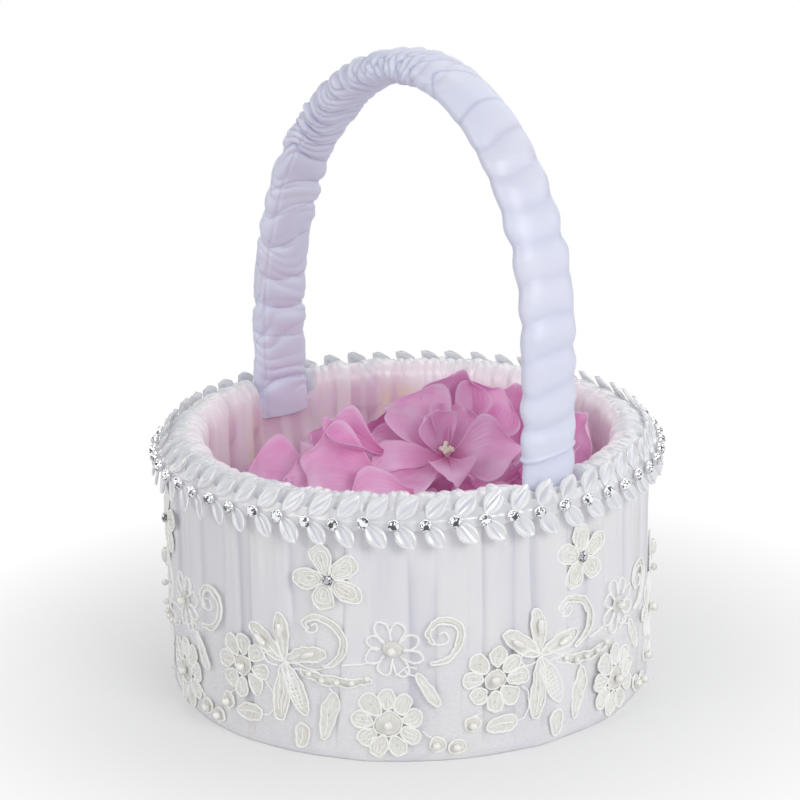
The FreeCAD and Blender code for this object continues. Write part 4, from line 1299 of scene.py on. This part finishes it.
def beads(name, node, part, flat_places, lift, ways, material, seed):
    """Beads sewn on the wall at flat places, each thread lying its own way."""
    rng = np.random.default_rng(seed)
    made = []
    for angle in REPEAT_ANGLES:
        for (u, v), way in zip(flat_places, ways):
            turn = math.radians(way if way is not None else rng.uniform(0, 180))
            along = np.array([0, math.cos(turn), math.sin(turn)])
            axes = (np.cross(along, [1, 0, 0]), along, (1, 0, 0))
            shift = np.array([lift, rng.normal(0, 0.15), v + rng.normal(0, 0.15)])
            bead = moved(part, shift, axes)
            made.append(turned(bead, angle + u / COVER_R))
    piece(name, join(made), material, (node,))


def pearls(coat):
    """Pearls in the flowers, the rings and along the vine, and rice beads on the iris petals."""
    big, small, seed, rice = bead_part(1.6), bead_part(1.45), bead_part(1.1), bead_part(1.15, 2.5)
    flowers = (ROUND_FLOWER, SMALL_DAISY, LARGE_DAISY)
    beads("flower_pearls_sewn", "flower_pearls", big, flowers, NET_R + 2.1, [None] * 3, coat, 61)
    beads("loop_pearls_sewn", "loop_pearls", small, LOOPS, NET_R + 1.75, [None] * 3, coat, 62)
    line = [(u, 28.0 + 0.02 * (u - 2.0) ** 2) for u in SEEDS]
    beads("vine_pearls_sewn", "vine_pearls", seed, line, NET_R + 1.4, [0] * 5, coat, 63)
    grains, ways = [], []
    for way, length, _ in IRIS_PETALS[:3]:
        t = math.radians(way)
        grains.append((IRIS[0] + length * 0.62 * math.cos(t), IRIS[1] + length * 0.62 * math.sin(t)))
        ways.append(way)
    beads("rice_beads_sewn", "rice_beads", rice, grains, NET_R + 1.6, ways, coat, 64)


# --- silk petals ----------------------------------------------------------------------------


PETAL_THICK = 0.22
LIFT = 88.0  # how far the joint lifts the petals out
HEAP_REACH = 67.0  # the heap's petals stay this near the axis, clear of the lining
LEG_CLEAR_Y = 13.5  # and this far from the handle's middle line, along Y and along X
LEG_CLEAR_X = 8.5


def petal_part(rng, length, width, cup, curl, ruffle, rows=34, cols=31):
    """A silk petal from its narrow base along +x, facing +z, with its marks."""
    a, b = np.meshgrid(np.linspace(0, 1, rows), np.linspace(-1, 1, cols), indexing="ij")
    grow = 0.14 + 0.86 * smooth(a, 0.0, 0.62) ** 0.8
    grow = grow * np.sqrt(np.clip(1 - (0.96 * smooth(a, 0.55, 1.0)) ** 2, 0.02, 1))
    half = width / 2 * grow
    tip = 1 - 0.10 * b ** 2 * smooth(a, 0.5, 1.0) + 0.02 * np.sin(4 * b + rng.uniform(0, ABOUT_A_TURN))
    x = length * a * tip
    y = half * b
    waves = rng.uniform(0.7, 1.4, 2)
    phase = rng.uniform(0, ABOUT_A_TURN, 3)
    edge = abs(b) ** 2.0
    z = cup * half / width * b ** 2 * 2
    z = z + curl * (a - 0.35) ** 2 * np.sign(a - 0.35) * 2
    along = np.sin(waves[0] * a * ABOUT_A_TURN + phase[0] + 1.2 * (b > 0))
    z = z + ruffle * edge * along * smooth(a, 0, 0.3)
    z = z + ruffle * 0.8 * smooth(a, 0.55, 1) * np.sin(waves[1] * b * 3.3 + phase[1])
    z = z + curl * 0.9 * smooth(a, 0.72, 1.0) ** 2 * (0.5 + 0.5 * np.sin(2.2 * b + phase[2]))
    for _ in range(5):
        way = rng.uniform(-0.9, 0.9)
        line = (x * math.sin(way) + y * math.cos(way)) / rng.uniform(1.2, 2.6)
        z = z + 0.13 * (1 + edge) * np.sin(line + rng.uniform(0, ABOUT_A_TURN)) * smooth(a, 0.1, 0.5)
    z = z - 0.5 * np.exp(-(b / 0.07) ** 2) * (1 - smooth(a, 0.6, 0.95))
    z = z + 0.05 * np.cos(b * 24 + 2 * np.sin(a * 4)) * smooth(a, 0.1, 0.4)
    roll = rng.uniform(-0.35, 0.35)
    y, z = y * np.cos(roll * a) - z * np.sin(roll * a), y * np.sin(roll * a) + z * np.cos(roll * a)
    points = np.stack([x, y, z], 2)
    root = (1 - smooth(a, 0.0, 0.45)) ** 1.3
    rim = np.maximum(smooth(abs(b), 0.82, 1.0), smooth(a, 0.88, 1.0)) * 0.45
    vein = 0.5 + 0.5 * np.cos(b * 48 + 3 * np.sin(a * 4))
    marks = [np.tile(m.ravel(), 2) for m in (root, rim, vein)]
    return sheet(points, PETAL_THICK), marks


def aimed(direction, up):
    """Axes for a part whose x runs along direction and whose z faces up as nearly as it can."""
    x = unit(direction)
    z = unit(np.asarray(up, float) - x * (x @ np.asarray(up, float)))
    return x, np.cross(z, x), z


class Petals:
    """Collects the petals of one group."""

    def __init__(self, seed):
        self.rng = np.random.default_rng(seed)
        self.parts, self.marks = [], []

    def add(self, place, direction, up, *shape):
        part, marks = petal_part(self.rng, *shape)
        self.keep(moved(part, place, aimed(direction, up)), marks)

    def keep(self, part, marks):
        self.parts.append(part)
        self.marks.append(marks)

    def build(self, name, material, node):
        root, rim, vein = [np.concatenate(m) for m in zip(*self.marks)]
        piece(name, join(self.parts), material, (node,), body="petals",
              marks={"root": root, "rim": rim, "vein": vein})


# base place, the way it runs, the way it faces (all as the main camera sees them: right, away,
# up), length, width, cup, curl and ruffle
FRONT_PETALS = (
    ((-31, -22, 80), (-1.0, 0.05, 0.08), (0.0, -0.6, 1.0), 24, 25, 4, -2, 0.9),
    ((-10, -34, 82), (-1.0, 0.18, 0.22), (0.1, -0.8, 0.9), 27, 29, 5, -2, 1.0),
    ((-8, -25, 88), (-1.0, 0.05, 0.22), (0.2, -0.9, 0.9), 22, 15, 9, 5, 1.6),
    ((4, -4, 78), (-0.8, 0.2, 0.35), (0.1, -0.7, 1.0), 22, 24, 5, 3, 1.2),
    ((14, 1, 84), (0.16, 0.25, 0.95), (0.0, -1.0, 0.35), 24, 25, 6, 4, 1.2),
    ((18, -3, 83), (0.62, 0.3, 0.62), (-0.1, -1.0, 0.6), 25, 26, 7, -3, 0.9),
    ((31, 6, 72), (0.3, 0.25, 0.85), (-0.1, -1.0, 0.3), 30, 24, 6, 3, 1.0),
    ((44, -5, 68), (0.60, 0.16, 0.79), (-0.5, -1.0, 0.35), 31, 24, 6, 3, 0.8),
    ((38, -16, 76), (0.95, 0.1, 0.3), (-0.2, -0.6, 0.9), 22, 22, 5, 2, 0.9),
    ((-20, -30, 80), (-1.0, 0.0, 0.03), (0.1, -0.6, 1.0), 22, 22, 5, -2, 1.1),
    ((-12, -16, 82), (-0.9, 0.3, 0.15), (0.1, -0.6, 1.0), 24, 20, 6, 3, 1.4),
    ((2, -40, 78), (-0.9, -0.2, -0.05), (0.1, -0.7, 1.0), 24, 22, 5, -2, 1.2),
)

# the silk flower's petals, from its middle, in the same way; the first five are its back layer
FLOWER_MIDDLE = (13.5, -17, 82.5)
FLOWER_PETALS = (
    ((-0.62, 0.50, 0.66), (0.35, -0.9, 0.6), 29, 27, 9, -6, 1.6),
    ((-1.0, -0.05, 0.10), (0.0, -0.5, 1.0), 32, 23, 4, -3, 1.4),
    ((-0.80, -0.55, -0.04), (0.0, -0.7, 1.0), 30, 25, 5, -4, 1.1),
    ((0.95, -0.22, 0.22), (-0.05, -1.0, 0.8), 24, 24, 6, -2, 0.8),
    ((0.25, 0.75, 0.60), (0.0, -0.9, 0.7), 20, 22, 6, 2, 1.0),
    ((0.10, -0.9, 0.02), (0.0, -0.5, 1.0), 17, 16, 4, -3, 0.9),
    ((-0.45, 0.4, 0.75), (0.3, -0.8, 0.5), 15, 16, 6, 3, 0.9),
)


def meets_handle(points):
    """True if any of these points would meet the handle as the petals lift out."""
    x, y, z = points.T
    for side, spring in SPRING_Z.items():
        rise = np.clip((z + LIFT - spring) / (CROWN_Z - spring), 0, 1)
        line = CROWN_X + side * abs(side * LEG_X - CROWN_X) * np.sqrt(1 - rise ** 2)
        if np.any((abs(y) < LEG_CLEAR_Y) & (side * (x - line) > -LEG_CLEAR_X)):
            return True
    return False


# radius of each ring of the heap, and how many petals it has
HEAP_RINGS = ((62, 21), (52, 18), (41, 14), (29, 10), (17, 6), (5, 3))
# how far each layer is sunk, and the rows and columns of its petals' grids
HEAP_LAYERS = ((0.0, 28, 25), (5.0, 18, 15), (10.0, 14, 11))


def heap_petal(heap, ring, turn, sunk, rows, cols):
    """One petal of the heap, tried at a few slants until it clears the wall and the handle."""
    rng = heap.rng
    for _ in range(8):
        crown = high("petal_bed") - 2.0 - 9.0 * (ring / 66) ** 2 + rng.uniform(-2, 3) - sunk
        place = np.array([ring * math.cos(turn), ring * math.sin(turn), crown])
        way = turn + rng.uniform(-1.4, 1.4) + (math.pi if ring > 38 else 0)
        run = np.array([math.cos(way), math.sin(way), rng.uniform(-0.1, 0.25)])
        face = np.array([rng.normal(0, 0.3), rng.normal(0, 0.3), 1.0])
        shape = (rng.uniform(25, 31), rng.uniform(23, 29), rng.uniform(2, 6), rng.uniform(-3, 5))
        part, marks = petal_part(rng, *shape, rng.uniform(0.6, 1.6), rows, cols)
        made = moved(part, place, aimed(run, face))
        reach = np.hypot(made[0][:, 0], made[0][:, 1]).max()
        if reach < HEAP_REACH and not meets_handle(made[0]):
            heap.keep(made, marks)
            return


def silk_petals(material):
    """The heap, the loose petals over its front and the silk flower, whose middle it returns."""
    heap = Petals(301)
    for sunk, rows, cols in HEAP_LAYERS:
        for ring, count in HEAP_RINGS:
            start = heap.rng.uniform(0, 1)
            for k in range(count):
                turn = (k + start + heap.rng.uniform(-0.2, 0.2)) * 2 * math.pi / count
                heap_petal(heap, ring, turn, sunk, rows, cols)
    heap.build("silk_petal_heap", material, "petal_bed")
    front = Petals(302)
    for place, run, face, *shape in FRONT_PETALS:
        front.add(front_place(*place), front_place(*run), front_place(*face), *shape)
    front.build("silk_petals_loose", material, "loose_petals")
    flower = Petals(303)
    middle = front_place(*FLOWER_MIDDLE)
    for run, face, *shape in FLOWER_PETALS:
        way = unit(front_place(*run))
        flower.add(middle + way * 1.4, way, front_place(*face), *shape)
    flower.build("silk_flower_petals", material, "silk_flower_layers")
    return middle


STAMEN_LEAN = front_place(0.05, -0.6, 0.8)


def silk_stamens(middle, material):
    """A tuft of fine stalks with small heads."""
    rng = np.random.default_rng(311)
    head = bead_part(0.85, 0.9)
    parts = []
    for k in range(13):
        turn = k * 2.4
        lean = np.array([math.cos(turn), math.sin(turn), 0]) * (0.12 + 0.035 * k)
        tip = middle + np.array([0, 0, 1.0]) + unit(lean + STAMEN_LEAN) * rng.uniform(3.5, 5.5)
        path = np.linspace(middle, tip, 6)
        parts.append(tube(path, [unit([1, 0.3, 0.1])] * len(path), 0.28, sides=5))
        parts.append(moved(head, tip, aimed(rng.normal(0, 1, 3), (0, 0, 1))))
    piece("silk_stamens_tuft", join(parts), material, ("silk_stamens",),
          body="petals")


# --- hidden structure -----------------------------------------------------------------------


def hidden_structure():
    """Finishes for the CAD nodes that stay as they are under the satin."""
    finishes = {
        "base_board": wood("board_wood", (0.62, 0.48, 0.32), (0.48, 0.35, 0.22)),
        "wall_band": wood("band_wood", (0.80, 0.66, 0.46), (0.66, 0.50, 0.31)),
        "base_hoop": wood("hoop_wood", (0.70, 0.55, 0.36), (0.55, 0.40, 0.24)),
        "base_tacks": metal("tack_steel", (0.60, 0.60, 0.62), 0.35),
        "handle_rivets": metal("rivet_steel", (0.70, 0.70, 0.72), 0.3),
    }
    finishes["inner_rim_hoop"] = finishes["outer_rim_hoop"] = finishes["base_hoop"]
    finishes["handle_bow"] = finishes["base_hoop"]
    for node, material in finishes.items():
        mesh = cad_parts[node].data
        mesh.materials.clear()
        mesh.materials.append(material)


# --- floor, light and camera ----------------------------------------------------------------


def floor_white():
    """Matt white near the basket, where its shadow falls, and plain white paper further out."""
    s = Shader("floor_white")
    matt = s.surface(Base_Color=(0.90, 0.90, 0.90), Roughness=0.9, Specular_IOR_Level=0.1)
    paper = s.node("ShaderNodeEmission", {"Color": (1.0, 1.0, 1.0), "Strength": 1.0})
    away = s.node("ShaderNodeVectorMath", {0: s.place}, operation="LENGTH").outputs["Value"]
    seen = s.node("ShaderNodeLightPath").outputs["Is Camera Ray"]
    share = s.maths("MULTIPLY", s.ramp(away, 0.085, 0.19, 0.35, 1.0), seen)
    return s.finish(s.blend(share, matt, paper))


def stage():
    """The white floor, well past the edge of the picture, and the light of the room."""
    mesh = bpy.data.meshes.new("floor")
    side = 6.0
    mesh.from_pydata([(-side, -side, 0), (side, -side, 0), (side, side, 0), (-side, side, 0)], [],
                     [(0, 1, 2, 3)])
    floor = bpy.data.objects.new("floor", mesh)
    bpy.context.scene.collection.objects.link(floor)
    mesh.materials.append(floor_white())
    studio_world()


def studio_world():
    """Even soft light for cloth, bright and dim panels for shiny things, white for the camera."""
    world = bpy.data.worlds.new("studio")
    bpy.context.scene.world = world
    world.use_nodes = True
    tree = world.node_tree
    tree.nodes.clear()

    def background(colour, strength):
        made = tree.nodes.new("ShaderNodeBackground")
        made.inputs["Color"].default_value = (*colour, 1)
        made.inputs["Strength"].default_value = strength
        return made

    def choose(share, first, second):
        made = tree.nodes.new("ShaderNodeMixShader")
        tree.links.new(share, made.inputs[0])
        tree.links.new(first.outputs[0], made.inputs[1])
        tree.links.new(second.outputs[0], made.inputs[2])
        return made

    soft = background((0.95, 0.97, 1.0), 0.42)
    panels = background((1, 1, 1), 1.0)
    paper = background((1, 1, 1), 1.05)
    where = tree.nodes.new("ShaderNodeTexCoord")
    patch = tree.nodes.new("ShaderNodeTexNoise")
    patch.inputs["Scale"].default_value = 2.3
    patch.inputs["Detail"].default_value = 0.0
    share = tree.nodes.new("ShaderNodeMapRange")
    for key, value in (("From Min", 0.42), ("From Max", 0.60), ("To Min", 0.12), ("To Max", 1.7)):
        share.inputs[key].default_value = value
    tree.links.new(where.outputs["Generated"], patch.inputs["Vector"])
    tree.links.new(patch.outputs["Fac"], share.inputs["Value"])
    tree.links.new(share.outputs[0], panels.inputs["Strength"])
    ray = tree.nodes.new("ShaderNodeLightPath")
    shiny = choose(ray.outputs["Is Glossy Ray"], soft, panels)
    out = tree.nodes.new("ShaderNodeOutputWorld")
    tree.links.new(choose(ray.outputs["Is Camera Ray"], shiny, paper).outputs[0], out.inputs[0])


LAMP_AIM_Z = 90.0


def lamp(name, place, watts, size, colour=(1, 1, 1)):
    """A square soft box at a front place in millimetres, aimed at the basket's middle."""
    data = bpy.data.lights.new(name, "AREA")
    data.energy, data.size, data.color = watts, size, colour
    obj = bpy.data.objects.new(name, data)
    bpy.context.scene.collection.objects.link(obj)
    obj.location = Vector(front_place(*place) * MM)
    aim = Vector((0, 0, LAMP_AIM_Z * MM)) - obj.location
    obj.rotation_euler = aim.to_track_quat("-Z", "Y").to_euler()


def camera():
    """The main view: a long lens, a little above the rim."""
    away, up, tilt, pan, roll = 949.42, 393.998, -17.29, 0.133, -1.0
    data = bpy.data.cameras.new("camera")
    data.sensor_width, data.lens = 36.0, 130.14
    data.clip_start, data.clip_end = 0.05, 50.0
    obj = bpy.data.objects.new("camera", data)
    bpy.context.scene.collection.objects.link(obj)
    turn = Matrix.Rotation(math.radians(VIEW_AZIMUTH + pan), 4, "Z")
    lift = Matrix.Rotation(math.radians(90 + tilt), 4, "X")
    spin = Matrix.Rotation(math.radians(roll), 4, "Z")
    obj.matrix_world = Matrix.Translation(front_place(0, -away, up) * MM) @ turn @ lift @ spin
    bpy.context.scene.camera = obj


def cloth():
    # The cover's warm colour and its blue-grey colour are painted shade in its fold grooves; the blue-grey
    # also lies in random vertical bands.
    outer_cover(satin("cover_satin", colour=(0.90, 0.89, 0.93), shade=(0.93, 0.92, 0.93),
                      warm=(0.90, 0.76, 0.64), fold_shade=(0.68, 0.68, 0.80), rough=0.30, coat=0.5, glow=0.02))
    wall_padding(wadding("wall_wadding"))
    handle_padding(wadding("handle_wadding"))
    # The lining's pink second tint is a painted reflection of the pink petals, its mauve colour is painted
    # shade in the folds, and its glow is painted light.
    wall_lining(satin("lining_satin", colour=(0.97, 0.94, 0.96), shade=(0.97, 0.86, 0.91),
                      warm=(0.95, 0.84, 0.58), fold_shade=(0.78, 0.56, 0.68), glow=0.06))
    rim_roll(satin("roll_satin", colour=(0.85, 0.86, 0.90), shade=(0.88, 0.88, 0.91),
                   warm=(0.90, 0.82, 0.74), rough=0.26))
    base_cover(satin("base_satin", colour=(0.86, 0.86, 0.88), shade=(0.82, 0.82, 0.84)))
    floor_pad(satin("pad_satin", colour=(0.88, 0.86, 0.88), shade=(0.84, 0.82, 0.84)))
    # The sleeve is the same white satin: its blue-lavender colours are painted blue shade, and its dark
    # crease colour is painted shade.
    handle_sleeve(satin("handle_satin", colour=(0.79, 0.82, 0.97), shade=(0.83, 0.83, 0.96),
                        fold_shade=(0.46, 0.47, 0.68), rough=0.41, coat=0.02, slubs=0.08))


def trim():
    trim_tape(pressed_satin("tape_satin", (0.90, 0.90, 0.92), see=0.75))
    gloss = pressed_satin("leaf_satin", (0.88, 0.88, 0.90))
    leaf_row("upper_leaves_pressed", UPPER_LEAF, UPPER_RUN, UPPER_OUT, TAPE_FOLD_Z, 1.2, gloss,
             ("upper_leaves",), 71)
    leaf_row("lower_leaves_pressed", LOWER_LEAF, LOWER_RUN, LOWER_OUT, TRIM_Z, 0.9, gloss,
             ("lower_leaves",), 72)
    rim_stones(crystal("crystal", (0.95, 0.96, 1.0)), metal("silver", (0.86, 0.86, 0.88), 0.18))


MOTIFS = (("lace_large_daisies", large_daisy), ("lace_round_flowers", round_flower),
          ("lace_small_daisies", small_daisy), ("lace_irises", iris), ("lace_leaves", leaves),
          ("lace_scrolls", scrolls), ("lace_vines", vine), ("pearl_loops", pearl_rings),
          ("applique_blossoms", blossom))


def lace_border(cord, fill):
    """The net, and each kind of motif drawn in every repeat with its own small differences."""
    lace_net(net_cloth())
    for seed, (node, draw) in enumerate(MOTIFS, start=101):
        lace = Lace(seed)
        for angle in REPEAT_ANGLES:
            draw(lace, angle)
        lace.build(node, cord, fill)
    blossom_stones(crystal("grey_stone", (0.55, 0.56, 0.60)))


def lamps():
    lamp("key", (560, -800, 580), watts=3.3, size=0.45)
    lamp("fill", (-850, -600, 460), watts=1.9, size=0.5, colour=(1.0, 0.98, 0.97))
    lamp("side", (1000, 60, 500), watts=0.9, size=0.5)
    lamp("back", (200, 800, 900), watts=1.3, size=0.7)


cloth()
trim()
lace_border(lace_cord(), lace_fill())
pearls(pearl_coat())
flower_middle = silk_petals(silk("petal_silk"))
silk_stamens(flower_middle, yellow_pollen())
hidden_structure()
stage()
lamps()
camera()
bpy.context.scene.view_settings.view_transform = "Standard"
